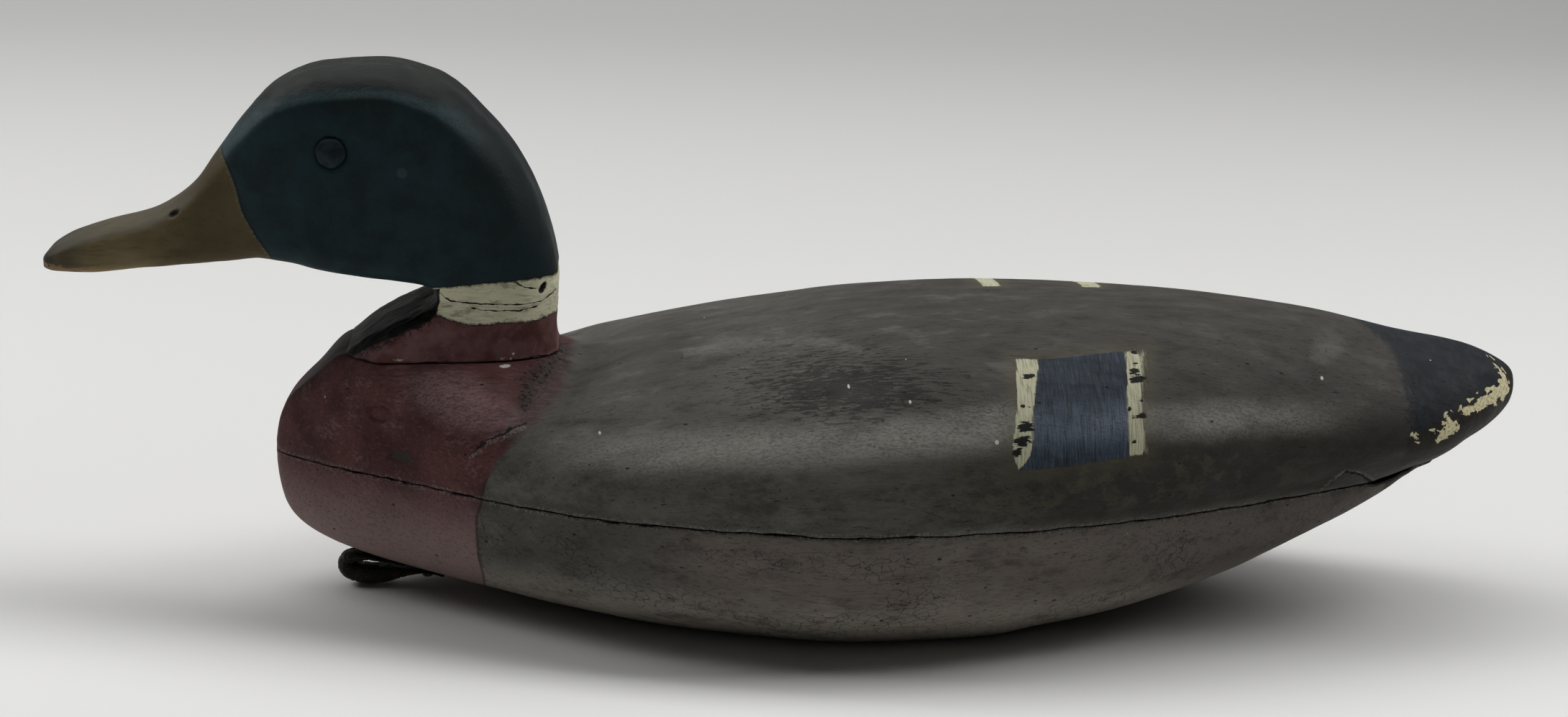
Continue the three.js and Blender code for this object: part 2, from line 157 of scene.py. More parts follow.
# Ribs of the head block: lower aft, height, upper aft, height, half widths of the lower flat, low on the
# rib, high on it and of the upper flat, rounding at the lower and upper end, squareness of the lower one
FOOT = LOWER_DEPTH + SEAT_HEIGHT + 1.5 * FIT_GAP
HEAD_RIBS = [
    (-BILL_REACH, 94.8, -BILL_REACH, 96.4, 3, 4.5, 4.5, 3, 0.5, 0.5, 2),
    (-63, 94, -62.8, 98.2, 7, 9.3, 9, 6, 1.5, 1.5, 2),
    (-59, 93.8, -58, 101.4, 10.5, 12.8, 12, 7, 2, 3, 2),
    (-49, 94, -47.5, 105.2, 11.5, 13.8, 12.5, 6, 2.5, 4, 2),
    (-36, 95.2, -33.5, 109.6, 11, 13.6, 12, 4.5, 3, 5, 2),
    (-22, 96.4, -22.5, 117.2, 11, 14.5, 12.5, 4, 3.5, 6, 2),
    (-10, 98.1, -14.5, 128, 13, 17, 14.5, 4, 4, 7, 2),
    (-2, 99.4, -7, 138.4, 15, 20, 17, 5, 5, 8, 2),
    (6, 98.9, 3, 148, 17.5, 22.5, 19, 6, 5.5, 9, 2),
    (14, 97.2, 16, 152.3, 18.5, 24, 20.5, 7, 6, 10, 2),
    (22, 95.8, 31, 153.3, 19, 24.5, 21.5, 7, 6, 10, 2),
    (30, 94.8, 46.4, 149.6, 19.5, 24.5, 22, 7, 5.5, 10.5, 2),
    (37, 94.1, 59.6, 138.9, 19.5, 24.2, 22, 7, 5, 11, 2),
    (41.5, 93.6, 70.1, 126, 19.5, 23.8, 21.5, 7, 4.5, 11.5, 2),
    (44.5, 92.9, 76.8, 111.9, 19.5, 23.4, 21, 7, 4, 12, 2),
    (46.2, 91.7, 80.2, 99, 19.5, 23, 20.5, 7.5, 3.5, 12, 2),
    (46.6, 89.3, 81.2, 91, 19, 22.6, 20, 8, 3.5, 12, 2),
    (44.4, 86.2, 80.9, 86, 19, 23, 20, 8, 4, 12, 1.6),
    (34.6, 81.4, 80.5, 81.2, 18, 25.2, 19.8, 8.5, 6, 14, 1.3),
    (27.4, 77.3, 80.4, 77.2, 17, 26, 19.5, 9, 8, 16, 1.3),
    (23.2, 74, 80.7, 74, 16, 26.4, 19.5, 9, 9, 18, 1.3),
    (21.4, FOOT, 81.3, FOOT, 15.6, 27, 19.5, 9, 10, 20, 1.3),
]
CHIN_ROW = 14.6
BROW_SQUARE = 2.2
rib_curves = [through(list(enumerate(column))) for column in zip(*HEAD_RIBS)]


def head_rib(place):
    """The rib at a place along the head: its two ends, its length and half width along it."""
    (low_aft, low_height, high_aft, high_height, low_flat, low_half, high_half, high_flat, jaw, brow,
     jaw_square) = [curve(place) for curve in rib_curves]
    reach = math.hypot(high_aft - low_aft, high_height - low_height)
    fit = min(1, 0.96 * reach / (jaw + brow))
    jaw, brow = jaw * fit, brow * fit

    def half_at(step):
        half = lerp(low_half, high_half, (step / reach) ** 2)
        off_jaw = (half - low_flat) * (1 - bluntness(step, jaw, jaw_square))
        off_brow = (half - high_flat) * (1 - bluntness(reach - step, brow, BROW_SQUARE))
        return half - off_jaw - off_brow

    low = np.array([low_aft, low_height])
    high = np.array([high_aft, high_height])
    return low, high, reach, jaw, brow, half_at


foot_low, foot_high, foot_reach, _, _, foot_half = head_rib(len(HEAD_RIBS) - 1)
seat_front, seat_back = foot_low[0], foot_high[0]
breast_facet = foot_half(0.0) / rim_half(seat_front)


def flat_half(aft):
    if aft < seat_front:
        return breast_facet * rim_half(aft)
    run_out = 1 - smoothstep(aft, seat_back, seat_back + NAPE_RUN)
    return foot_half(min(aft - seat_front, foot_reach)) * run_out


def crown_of(aft):
    square = back_round(aft)
    edge = (1 - (flat_half(aft) / rim_half(aft)) ** square) ** (1 / square)
    share = rim_share(aft)
    under = tail_under(aft)
    return under + (crest(aft) - under) / (share + (1 - share) * edge)


def hollow_at(aft, side):
    out = np.abs(side)
    away = (aft - hollow_aft(out)) / HOLLOW_WIDTH
    beside = np.maximum(0, out - foot_half(min(max(aft - seat_front, 0), foot_reach)))
    clear = smoothstep(np.hypot(beside, max(0, aft - seat_back)), 0, HOLLOW_FADE)
    return HOLLOW_DEPTH * hollow_share(out) * clear * np.exp(-away * away)


def back_height(aft, side):
    under = tail_under(aft)
    crown = crown_of(aft)
    rim = under + rim_share(aft) * (crown - under)
    out = np.minimum(1, np.maximum(np.abs(side), flat_half(aft)) / rim_half(aft))
    square = back_round(aft)
    return rim + (crown - rim) * (1 - out ** square) ** (1 / square) - hollow_at(aft, side)


def foot_half_width(aft):
    strip = TAIL_STRIP * math.sqrt(min(max((BODY_LENGTH - aft) / TAIL_STRIP_FADE, 0), 1))
    joint = seam_half(aft) if aft < LOWER_LENGTH else 0
    return max(joint, min(strip, rim_half(aft) / 2))


# Fine rings. Rows are closer on the side that faces the camera.
NEAR, FAR = -1, 1
UPPER_STATIONS = 440
LOWER_STATIONS = 430
HEAD_STATIONS = 420
FLANK_ROWS = {NEAR: 16, FAR: 9}
SHOULDER_ROWS = {NEAR: 72, FAR: 44}
BACK_ROWS = 66
SEAM_ROWS = 8
HULL_ROWS = {NEAR: 110, FAR: 60}
UNDER_ROWS = 10
JAW_ROWS = {NEAR: 16, FAR: 11}
CHEEK_ROWS = {NEAR: 48, FAR: 30}
BROW_ROWS = {NEAR: 28, FAR: 18}
CROWN_ROWS = 5


def upper_climb(aft, side, split, rim):
    """One flank and shoulder of a section, from the seam edge up to the split."""
    under = tail_under(aft)
    half = rim_half(aft)
    share = np.arange(FLANK_ROWS[side]) / FLANK_ROWS[side]
    flank_side = lerp(foot_half_width(aft), half, np.sin(share * math.pi / 2) ** FLANK_BELLY)
    flank = np.stack([flank_side, lerp(under, rim, share)], 1)
    turn = math.pi / 2 * np.arange(SHOULDER_ROWS[side]) / SHOULDER_ROWS[side]
    shoulder_side = lerp(split, half, np.cos(turn) ** (2 / back_round(aft)))
    shoulder = np.stack([shoulder_side, back_height(aft, shoulder_side)], 1)
    shoulder[0, 1] = rim
    return np.concatenate([flank, shoulder]) * (side, 1)


def upper_ring(aft):
    under = tail_under(aft)
    rim = under + rim_share(aft) * (crown_of(aft) - under)
    half = rim_half(aft)
    split = max(flat_half(aft), half / 2 * smoothstep(aft, seat_back, seat_back + 2 * NAPE_RUN))
    across = split * np.linspace(-1, 1, BACK_ROWS + 1)
    back = np.stack([across, back_height(aft, across)], 1)
    foot = foot_half_width(aft) * (1 - 2 * np.arange(1, SEAM_ROWS) / SEAM_ROWS)
    base = np.stack([foot, np.full_like(foot, under)], 1)
    near, far = upper_climb(aft, NEAR, split, rim), upper_climb(aft, FAR, split, rim)
    section = np.concatenate([near, back, far[::-1], base])
    section[:, 1] += LOWER_DEPTH + FIT_GAP / 2
    return np.column_stack([np.full(len(section), aft), section])


def lower_ring(aft):
    half = seam_half(aft)
    top = LOWER_DEPTH - FIT_GAP / 2
    power = 2 / hull_round(aft)
    lid = -half * (1 - 2 * np.arange(SEAM_ROWS) / SEAM_ROWS)
    far_turn = math.pi / 2 * np.arange(HULL_ROWS[FAR]) / HULL_ROWS[FAR]
    near_turn = math.pi / 2 * (1 + np.arange(HULL_ROWS[NEAR]) / HULL_ROWS[NEAR])
    turn = np.concatenate([far_turn, near_turn])
    out = np.sign(np.cos(turn)) * np.abs(np.cos(turn)) ** power
    depth = keel(aft) * np.sin(turn) ** power
    hull = np.stack([half * out, np.maximum(top - depth, 0)], 1)
    section = np.concatenate([np.stack([lid, np.full_like(lid, top)], 1), hull])
    return np.column_stack([np.full(len(section), aft), section])


def head_side(low, high, reach, jaw, brow, half_at, side):
    """One side of a rib from the middle of its lower end to the middle of its upper end."""
    jaw_steps = jaw * (1 - np.cos(math.pi / 2 * np.arange(JAW_ROWS[side]) / JAW_ROWS[side]))
    cheek_steps = lerp(jaw, reach - brow, np.arange(CHEEK_ROWS[side]) / CHEEK_ROWS[side])
    brow_turn = math.pi / 2 * np.arange(BROW_ROWS[side] + 1) / BROW_ROWS[side]
    steps = np.concatenate([jaw_steps, cheek_steps, reach - brow * (1 - np.sin(brow_turn))])
    under = half_at(0.0) * np.arange(UNDER_ROWS) / UNDER_ROWS
    crown = half_at(reach) * (1 - np.arange(1, CROWN_ROWS + 1) / CROWN_ROWS)
    step = np.concatenate([np.zeros(UNDER_ROWS), steps, np.full(CROWN_ROWS, reach)])
    half = np.concatenate([under, half_at(steps), crown])
    along = low + (high - low) * (step / reach)[:, None]
    return np.column_stack([along[:, 0], side * half, along[:, 1]])


def head_ring(place):
    rib = head_rib(place)
    near, far = head_side(*rib, NEAR), head_side(*rib, FAR)
    return np.concatenate([near, far[-2:0:-1]])


# Smooth random fields for the carved relief

def hashed(cell, seed):
    mixed = cell[..., 0] * 73856093 ^ cell[..., 1] * 19349663 ^ cell[..., 2] * 83492791 ^ seed * 2654435761
    mixed = (mixed ^ (mixed >> 13)) * 1274126177 & 0xFFFFFFFF
    return ((mixed ^ (mixed >> 16)) & 0xFFFF) / 32767.5 - 1


def noise(points, scale, seed=0):
    """Value noise in -1..1 with one feature per scale, which may differ along the three axes."""
    place = points / np.array(scale, float)
    cell = np.floor(place).astype(np.int64)
    t = place - cell
    t = t * t * (3 - 2 * t)
    total = np.zeros(len(points))
    for corner in np.ndindex(2, 2, 2):
        share = np.prod(np.where(np.array(corner) == 1, t, 1 - t), axis=1)
        total += share * hashed(cell + np.array(corner), seed)
    return total


def grid_normals(rings):
    along = np.gradient(rings, axis=0)
    around = np.roll(rings, -1, axis=1) - np.roll(rings, 1, axis=1)
    normal = np.cross(along, around)
    length = np.linalg.norm(normal, axis=2, keepdims=True)
    normal = normal / np.maximum(length, 1e-9)
    outward = rings - rings.mean(axis=1, keepdims=True)
    return normal * np.sign((normal * outward).sum(axis=2).mean())


def soften(rings, rounds, free):
    """Rounds off the creases of a grid. free is 1 where a point may move and 0 where it may not."""
    free = free[..., None]
    for _ in range(rounds):
        around = (np.roll(rings, -1, axis=1) + np.roll(rings, 1, axis=1)) / 2
        along = rings.copy()
        along[1:-1] = (rings[2:] + rings[:-2]) / 2
        rings = rings + 0.5 * free * ((around + along) / 2 - rings)
    return rings


def build_mesh(name, rings, fields):
    """A closed mesh over rings of equal length, with one value per point for each paint field."""
    count, around = rings.shape[:2]
    ends = rings[[0, -1]].mean(axis=1)
    points = np.concatenate([rings.reshape(-1, 3), ends])
    points = np.clip((points - (CENTRE_AFT, 0, 0)) * MM, *cad_box)
    i, j = np.meshgrid(np.arange(count - 1) * around, np.arange(around), indexing="ij")
    k = (j + 1) % around
    quads = np.stack([i + j, i + around + j, i + around + k, i + k], -1).reshape(-1, 4)
    j, k = np.arange(around), (np.arange(around) + 1) % around
    last = (count - 1) * around
    first_cap = np.stack([np.full(around, count * around), j, k], 1)
    last_cap = np.stack([np.full(around, count * around + 1), last + k, last + j], 1)
    mesh = bpy.data.meshes.new(name)
    mesh.from_pydata(points.tolist(), [], quads.tolist() + first_cap.tolist() + last_cap.tolist())
    for field, values in fields.items():
        layer = mesh.attributes.new(field, "FLOAT", "POINT")
        flat = values.reshape(-1)
        layer.data.foreach_set("value", np.concatenate([flat, flat[:1], flat[-1:]]).astype(np.float32))
    mesh.shade_smooth()
    piece = bpy.data.objects.new(name, mesh)
    bpy.context.scene.collection.objects.link(piece)
    return piece


def stations(length, count):
    share = np.linspace(0, 1, count)
    crowded = (1 - np.cos(math.pi * share)) / 2
    first = 0.128
    return first + (length - 2 * first) * lerp(share, crowded, 0.5)


# Paint zones, as outlines on the bird's sides: places are aft and height in millimetres. A field is in
# millimetres too, positive inside its zone.
maroon_edge = through([
    (0, 61), (12, 61), (28, 59.5), (41, 61), (49, 63.6), (58.7, 71.7), (64, 78.9), (68, 83.4), (72, 85.5),
])
bar_one_front = through([(57, 204.6), (62.6, 203), (68.7, 204.4), (76.2, 205.6), (81, 206.3), (88.5, 204.5)])
bar_one_back = through([(57, 204.8), (59.5, 207.2), (62.4, 208.6), (68.6, 209.2), (76.1, 211), (81, 212.6), (88.5, 210)])
bar_two_front = through([(59, 236), (66, 236), (72.7, 236.4), (82, 237.8), (88.5, 234)])
bar_two_back = through([(59, 241.6), (66, 241), (72.5, 241.2), (81.8, 244.3), (88.5, 240)])
speculum_foot = through([(203, 57), (214, 57.3), (236, 58.8), (245, 59.4)])
speculum_head = through([(203, 48.6), (213, 47.8), (238, 41.7), (245, 40.6)])
FAR_HEAD = 9.0
BAR_TOP = 88.5
tail_front = through([(58, 321.5), (62, 320.9), (68, 321.6), (72.6, 321), (77.8, 320), (80.5, 317), (83, 313)])
rim_line = through([(318, 57), (324, 58.5), (333, 62.5), (339, 64.2), (346, 65.2), (353, 66.4), (357, 69), (362, 73)])
bill_back = through([
    (90, 4), (100.9, 0.9), (107.4, -3.4), (114.7, -7.2), (120.1, -8.5), (125.6, -10.8), (128.5, -12.6), (134, -15),
])
ring_foot = through([
    (44, 86.5), (48.3, 85.2), (53.5, 83.7), (59.8, 82.9), (67.4, 83.5), (75.4, 83.7), (79.5, 84.4), (82, 84.6),
])
ramp_ridge = through([(20, 69.5), (25.1, 73.3), (30.6, 76.9), (38.8, 80.7), (47.1, 85.8), (48.5, 96), (52, 130)])
ring_head = through([(44, 92.6), (48.3, 93.3), (59.8, 94.2), (76.9, 95.6), (80, 95.4), (82, 95.4)])

# What is left of the cream rim of the tail: lines of (aft, side, height, half width)
CREAM_RIM = [
    [(352, 2.5, 74, -0.4), (354.3, 6.3, 71.2, 0.8), (357, 9.6, 66.2, 2.1), (354.5, 14, 64.6, 2.0),
     (346.1, 23, 63.6, 1.9), (339.3, 28.3, 62.7, 1)],
    [(333.4, 31.9, 61.6, 1.4), (334.6, 32.3, 58.8, 2.6), (331.4, 33.6, 56.6, 1.1)],
    [(322.3, 38.4, 57.9, -0.2), (324.3, 37.4, 55.7, -0.3)],
    [(327, 36.4, 58.3, -0.1), (330.1, 35.1, 57.5, 0.1)],
]
FAR_RIM_LOSS = 0.8

# Damage on the near side: cracks as lines, chips and losses as ovals (aft, height, half length, half height)
RING_CRACKS = [
    [(47.6, 91.8), (51.2, 89.4), (58.2, 88.7), (66, 88.4), (71.2, 88.4), (76.9, 89), (80.1, 91)],
    [(57, 87.4), (62, 86.7), (70, 86.6), (75, 87.6)],
    [(69, 95), (72, 93.2), (75, 92.6)],
]
BOARD_CRACKS = [
    [(72.4, 60.9), (68.6, 59.8), (66.8, 58.2), (62.2, 56.5), (60.4, 54.4), (57.5, 52)],
    [(297, 40.5), (299, 45), (302.4, 48.3), (308, 46.6), (314.1, 41.3)],
]
RING_GOUGE = (76.8, 92.6, 0.9, 2)
NOSTRIL = (-26, 111, 1.7, 0.9)
BREAST_LOSS = (37.4, 47.3, 3.6, 1.9)
BREAST_DENT = (32, 58.6, 3.4, 2.4)
BAR_CHIPS = [
    (209.4, 78, 2.6, 0.6), (206.6, 71.9, 0.8, 0.5), (207.2, 67.4, 2.5, 1.4), (205.8, 64, 2.9, 1.6),
    (204.2, 61.4, 1.8, 1), (240.6, 81.7, 1.4, 0.5), (240.4, 79.7, 1, 0.4), (239.6, 78.2, 1.8, 0.6),
    (240.2, 76.6, 2.6, 0.9), (240.4, 72, 0.6, 0.6), (236.9, 70.2, 0.9, 0.5), (239.9, 68.5, 2.4, 0.9),
    (237.6, 62.5, 0.7, 0.7),
]
BOARD_DOTS = [(198.9, 64.1, 0.65), (176, 73.1, 0.4), (159.9, 75.5, 0.4), (92.9, 61.5, 0.4), (295.4, 73.7, 0.5)]
HEAD_DOTS = [(68.6, 74.3, 0.4), (67.9, 72.9, 0.35)]
HEAD_SCAR = (37.9, 125.6, 1.7)
SEAT_FLECK = (66.3, 71.6, 1.9, 0.26)
BREAST_WEAR = (53, 64.5, 20, 8)
RUBBED_PATCH = (159, 74.5, 25, 5.5)
SCUFF = [[(116, 76), (127, 78.6), (138, 79.9), (152, 81.4), (165, 81.6)]]
TAIL_SMEAR = (299, 79.5, 7, 3)
FILLER = [[(89, 77), (84, 71), (77, 65), (71, 60)]]
NAPE_SHADE = [[(85, 78), (79, 71.4), (75, 69.5), (72, 66.5)]]
FILLER_REACH = 5.5
sheen_line = through([
    (60, 53), (97, 57), (128, 60.5), (161, 64), (178, 65.5), (222, 67), (248, 66.5), (278, 65.5), (308, 63), (335, 60),
])
shoulder_line = through([(60, 50), (93, 54.2), (125, 61), (165, 65), (199, 69), (222, 69.8), (260, 70)])


def oval(points, place, tilt=0.0):
    """1 in the middle of an oval on the near side, 0 on its edge and negative outside."""
    aft, height, length, tall = place
    x, z = points[..., 0] - aft, points[..., 2] - height
    x, z = x * math.cos(tilt) + z * math.sin(tilt), z * math.cos(tilt) - x * math.sin(tilt)
    away = 1 - np.hypot(x / length, z / tall)
    return np.where(points[..., 1] < 0, away, -5.0)


def crack_fields(points, lines):
    """Signed distance from the nearest crack line, and how present the crack is there."""
    x, z = points[..., 0], points[..., 2]
    nearest = np.full(x.shape, 50.0)
    present = np.zeros(x.shape)
    for line in lines:
        for (x0, z0), (x1, z1) in zip(line, line[1:]):
            run = math.hypot(x1 - x0, z1 - z0)
            along = ((x - x0) * (x1 - x0) + (z - z0) * (z1 - z0)) / run
            across = ((z - z0) * (x1 - x0) - (x - x0) * (z1 - z0)) / run
            past = np.maximum(0, np.maximum(-along, along - run))
            away = np.hypot(across, past)
            closer = away < np.abs(nearest)
            nearest = np.where(closer, np.where(across < 0, -away, away), nearest)
            present = np.where(closer, 1 - smoothstep(past, 0, 0.8), present)
    return nearest, np.where(points[..., 1] < 0, present, 0)


def capsule_field(points, lines):
    """Millimetres inside the nearest of some lines in space that have a half width at each point. The
    lines are drawn on the far side and taken as mirrored."""
    place = points * (1, -1, 1)
    best = np.full(points.shape[:-1], -20.0)
    for line in lines:
        for first, last in zip(line, line[1:]):
            start, end = np.array(first[:3]), np.array(last[:3])
            run = end - start
            t = np.clip(((place - start) @ run) / (run @ run), 0, 1)
            away = np.linalg.norm(place - start - t[..., None] * run, axis=-1)
            best = np.maximum(best, lerp(first[3], last[3], t) - away)
    return best


def board_fields(points):
    aft, side, height = points[..., 0], points[..., 1], points[..., 2]
    out = np.abs(side)
    top = out - np.where(side < 0, speculum_head(aft), FAR_HEAD)
    foot = height - speculum_foot(aft)
    level = np.where(side > 0, BAR_TOP, height)
    one = np.minimum(aft - bar_one_front(level), bar_one_back(level) - aft)
    two = np.minimum(aft - bar_two_front(level), bar_two_back(level) - aft)
    between = np.minimum(aft - bar_one_back(level), bar_two_front(level) - aft)
    blue_top = out - speculum_head(aft)
    mirrored = np.where(side[..., None] < 0, points, points * (1, -1, 1))
    crack, cracked = crack_fields(points, BOARD_CRACKS)
    facet = np.array([flat_half(row) for row in points[:, 0, 0]])[:, None] - out
    scuff, scuffed = crack_fields(points, SCUFF)
    filler, _ = crack_fields(points, FILLER)
    nape_shade, _ = crack_fields(points, NAPE_SHADE)
    return {
        "maroon": maroon_edge(height) - aft,
        "bar": np.minimum(np.minimum(np.maximum(one, two), top), foot),
        "blue": np.minimum(np.minimum(between, blue_top), foot),
        "tail": np.minimum(aft - tail_front(height), height - 56),
        "rim": capsule_field(mirrored, CREAM_RIM) - FAR_RIM_LOSS * smoothstep(side, -1, 5),
        "under_rim": np.minimum(rim_line(aft) - height, (aft - 320) / 2),
        "loss": oval(points, BREAST_LOSS),
        "chip": np.max([oval(points, chip, 0.08) for chip in BAR_CHIPS], axis=0),
        "rubbed": oval(points, RUBBED_PATCH, 0.05),
        "shoulder": height - shoulder_line(aft),
        "sheen": height - sheen_line(aft),
        "crack": crack,
        "cracked": cracked,
        "scuff": np.where(scuffed > 0, np.abs(scuff), 9.0),
        "smear": oval(points, TAIL_SMEAR, 0.2),
        "filler": np.where(side < 0, FILLER_REACH - np.abs(filler), -5.0),
        "nape_shade": np.where(side < 0, 3 - np.abs(nape_shade), -5.0),
        "seam": np.abs(height - LOWER_DEPTH),
        "fleck": oval(points, SEAT_FLECK),
        "wear": oval(points, BREAST_WEAR, -0.2),
        "facet": np.where(aft < seat_front + 1, facet, -5.0),
    }


def along_seam(rings, upper):
    """Lets the seam wander and gape a little. Both boards share its line, and part where it gapes."""
    flat = rings * (1, 0, 0) + np.sign(rings) * (0, 30, 0)
    flat = flat.reshape(-1, 3)
    line = 0.34 * noise(flat, (11, 60, 60), 51) + 0.22 * noise(flat, (3.4, 60, 60), 53)
    line += 0.1 * noise(flat, (1.7, 60, 60), 55)
    gape = 0.4 * np.maximum(0, noise(flat, (5, 60, 60), 57) - 0.4)
    aft = flat[:, 0]
    gape += 0.45 * smoothstep(aft, 311, 318) * (1 - smoothstep(aft, 330, 336)) * (flat[:, 1] < 0)
    fade = 1 - smoothstep(np.abs(rings[..., 2] - LOWER_DEPTH), 0.2, 3.5)
    shift = (line + (gape if upper else -gape)).reshape(fade.shape) * fade
    ends = smoothstep(rings[..., 0], 0, 6) * (1 - smoothstep(rings[..., 0], LOWER_LENGTH - 8, LOWER_LENGTH - 1))
    return rings + (shift * ends)[..., None] * (0, 0, 1)


def dented(rings, normals):
    """Relief of the boards in millimetres: tool marks everywhere, and the dent in the near breast."""
    points = rings.reshape(-1, 3)
    relief = 0.2 * noise(points, (34, 12, 12), 3) + 0.08 * noise(points, (13, 5, 5), 7)
    relief += 0.035 * noise(points, (4.5, 1.9, 1.9), 11)
    worn = smoothstep(oval(points, BREAST_WEAR, -0.2), -0.2, 0.6)
    relief += 0.12 * worn * noise(points, (3.4, 1.1, 0.9), 17)
    filler = smoothstep(FILLER_REACH - np.abs(crack_fields(points, FILLER)[0]), 0, 3) * (points[:, 1] < 0)
    filler = filler * smoothstep(points[:, 2], 58, 70)
    relief += filler * (0.4 * noise(points, (3.4, 3.4, 2.2), 13) + 0.16 * noise(points, (1.5, 1.5, 1.2), 15))
    crack, cracked = crack_fields(points, BOARD_CRACKS)
    lifted = np.where(crack > 0, np.exp(-(crack / 2.2) ** 2), -0.4 * np.exp(-(crack / 0.9) ** 2))
    relief += 0.55 * cracked * lifted
    dent = oval(points, BREAST_DENT)
    relief -= 0.6 * np.exp(-((dent - 0.1) / 0.18) ** 2) - 0.25 * np.exp(-((dent + 0.25) / 0.16) ** 2)
    relief += 0.2 * np.exp(-((dent - 0.9) / 0.3) ** 2)
    relief -= 0.3 * smoothstep(oval(points, BREAST_LOSS), 0, 0.25)
    return rings + normals * relief.reshape(rings.shape[:2])[..., None]


def make_upper_body():
    rings = np.array([upper_ring(aft) for aft in stations(BODY_LENGTH, UPPER_STATIONS)])
    free = np.ones(rings.shape[:2])
    free[:, -SEAM_ROWS:] = 0
    free[:, 0] = 0
    rings = soften(rings, 5, free)
    fields = board_fields(rings)
    rings = dented(rings, grid_normals(rings) * free[..., None])
    rings[..., 2] = np.maximum(rings[..., 2], LOWER_DEPTH + FIT_GAP / 2)
    return build_mesh("upper_body_painted", along_seam(rings, True), fields)


def make_lower_body():
    rings = np.array([lower_ring(aft) for aft in stations(LOWER_LENGTH, LOWER_STATIONS)])
    fields = board_fields(rings)
    free = np.ones(rings.shape[:2])
    free[:, :SEAM_ROWS + 1] = 0
    free[rings[..., 2] <= 0.01] = 0
    rings = dented(rings, grid_normals(rings) * free[..., None])
    rings[..., 2] = np.clip(rings[..., 2], 0, LOWER_DEPTH - FIT_GAP / 2)
    return build_mesh("lower_body_painted", along_seam(rings, False), fields)


def make_head():
    places = np.linspace(0, len(HEAD_RIBS) - 1, HEAD_STATIONS)
    rings = np.array([head_ring(place) for place in places])
    free = np.ones(rings.shape[:2])
    free[-2:] = 0
    rings = soften(rings, 5, free)
    aft, height = rings[..., 0], rings[..., 2]
    crack, cracked = crack_fields(rings, RING_CRACKS)
    eye = np.hypot(aft - EYE_AFT, height - EYE_HEIGHT)
    fields = {
        "bill": bill_back(height) - aft,
        "ring": np.minimum(height - ring_foot(aft), ring_head(aft) - height) - np.where(aft < 40, 9, 0),
        "below": ring_foot(aft) - height,
        "ramp": np.where(places[:, None] > CHIN_ROW, height - ramp_ridge(aft), -9.0),
        "nostril": np.maximum(oval(rings, NOSTRIL, 0.5), oval(rings * (1, -1, 1), NOSTRIL, 0.5)),
        "gouge": oval(rings, RING_GOUGE, -0.5),
        "crack": crack,
        "cracked": cracked,
        "eye": eye,
        "up": grid_normals(rings)[..., 2],
    }
    points = rings.reshape(-1, 3)
    relief = 0.2 * noise(points, (16, 12, 16), 23) + 0.08 * noise(points, (6, 5, 6), 29)
    relief += 0.035 * noise(points, (2.4, 2.2, 2.4), 31)
    relief = relief.reshape(eye.shape)
    crumbly = np.exp(-(fields["ramp"] / 2.0) ** 2) * (fields["ramp"] > -8)
    relief += 0.3 * crumbly.reshape(eye.shape) * noise(points, (1.9, 1.9, 1.9), 37).reshape(eye.shape)
    lumps = smoothstep(points[:, 2], 134, 141) * (1 - smoothstep(points[:, 2], 147, 151))
    relief += (0.1 * lumps * noise(points, (2.6, 2, 1.6), 33)).reshape(eye.shape)
    turned_points = points @ np.array([(0.77, 0, -0.64), (0, 1, 0), (0.64, 0, 0.77)]).T
    on_ramp = smoothstep(fields["ramp"], 0.5, 2.5)
    relief += 0.28 * on_ramp * noise(turned_points, (1.5, 1.5, 7), 39).reshape(eye.shape)
    relief -= 0.3 * smoothstep(fields["ring"], -0.5, 0.6)
    relief -= 0.7 * smoothstep(fields["gouge"], 0, 0.5) + 0.8 * smoothstep(fields["nostril"], 0, 0.6)
    relief -= EYE_GROOVE * np.exp(-((eye - EYE_RADIUS - 0.3) / 0.5) ** 2)
    relief -= 1.6 * smoothstep(-eye, -EYE_RADIUS, 0.6 - EYE_RADIUS)
    relief *= smoothstep(height, FOOT, FOOT + 2)
    rings = rings + grid_normals(rings) * relief[..., None]
    return build_mesh("head_painted", rings, fields)


# Eye tacks, thong and nail
EYE_AFT = 18.4
EYE_HEIGHT = 130.7
EYE_RADIUS = 4.2
EYE_GROOVE = 0.22
TACK_SEGMENTS = 72


def turned(name, centre, axis, profile):
    """A lathe-turned piece: profile is (radius, rise) from the rim over the face, about an axis."""
    axis = Vector(axis)
    lean = axis.to_track_quat("Z", "Y")
    turn = np.linspace(0, 2 * math.pi, TACK_SEGMENTS, endpoint=False)
    points = []
    for radius, rise in profile:
        ragged = radius * (1 + 0.012 * np.sin(3 * turn + rise) + 0.01 * np.sin(7 * turn))
        for angle, r in zip(turn, ragged):
            place = lean @ Vector((r * math.cos(angle), r * math.sin(angle), rise))
            points.append((Vector(centre) + place) * MM)
    rows = len(profile)
    faces = []
    for i in range(rows - 1):
        for j in range(TACK_SEGMENTS):
            k = (j + 1) % TACK_SEGMENTS
            faces.append((i * TACK_SEGMENTS + j, i * TACK_SEGMENTS + k, (i + 1) * TACK_SEGMENTS + k,
                          (i + 1) * TACK_SEGMENTS + j))
    faces.append(tuple(reversed(range(TACK_SEGMENTS))))
    faces.append(tuple((rows - 1) * TACK_SEGMENTS + j for j in range(TACK_SEGMENTS)))
    mesh = bpy.data.meshes.new(name)
    mesh.from_pydata([tuple(p) for p in points], [], faces)
    mesh.shade_smooth()
    piece = bpy.data.objects.new(name, mesh)
    bpy.context.scene.collection.objects.link(piece)
    return piece


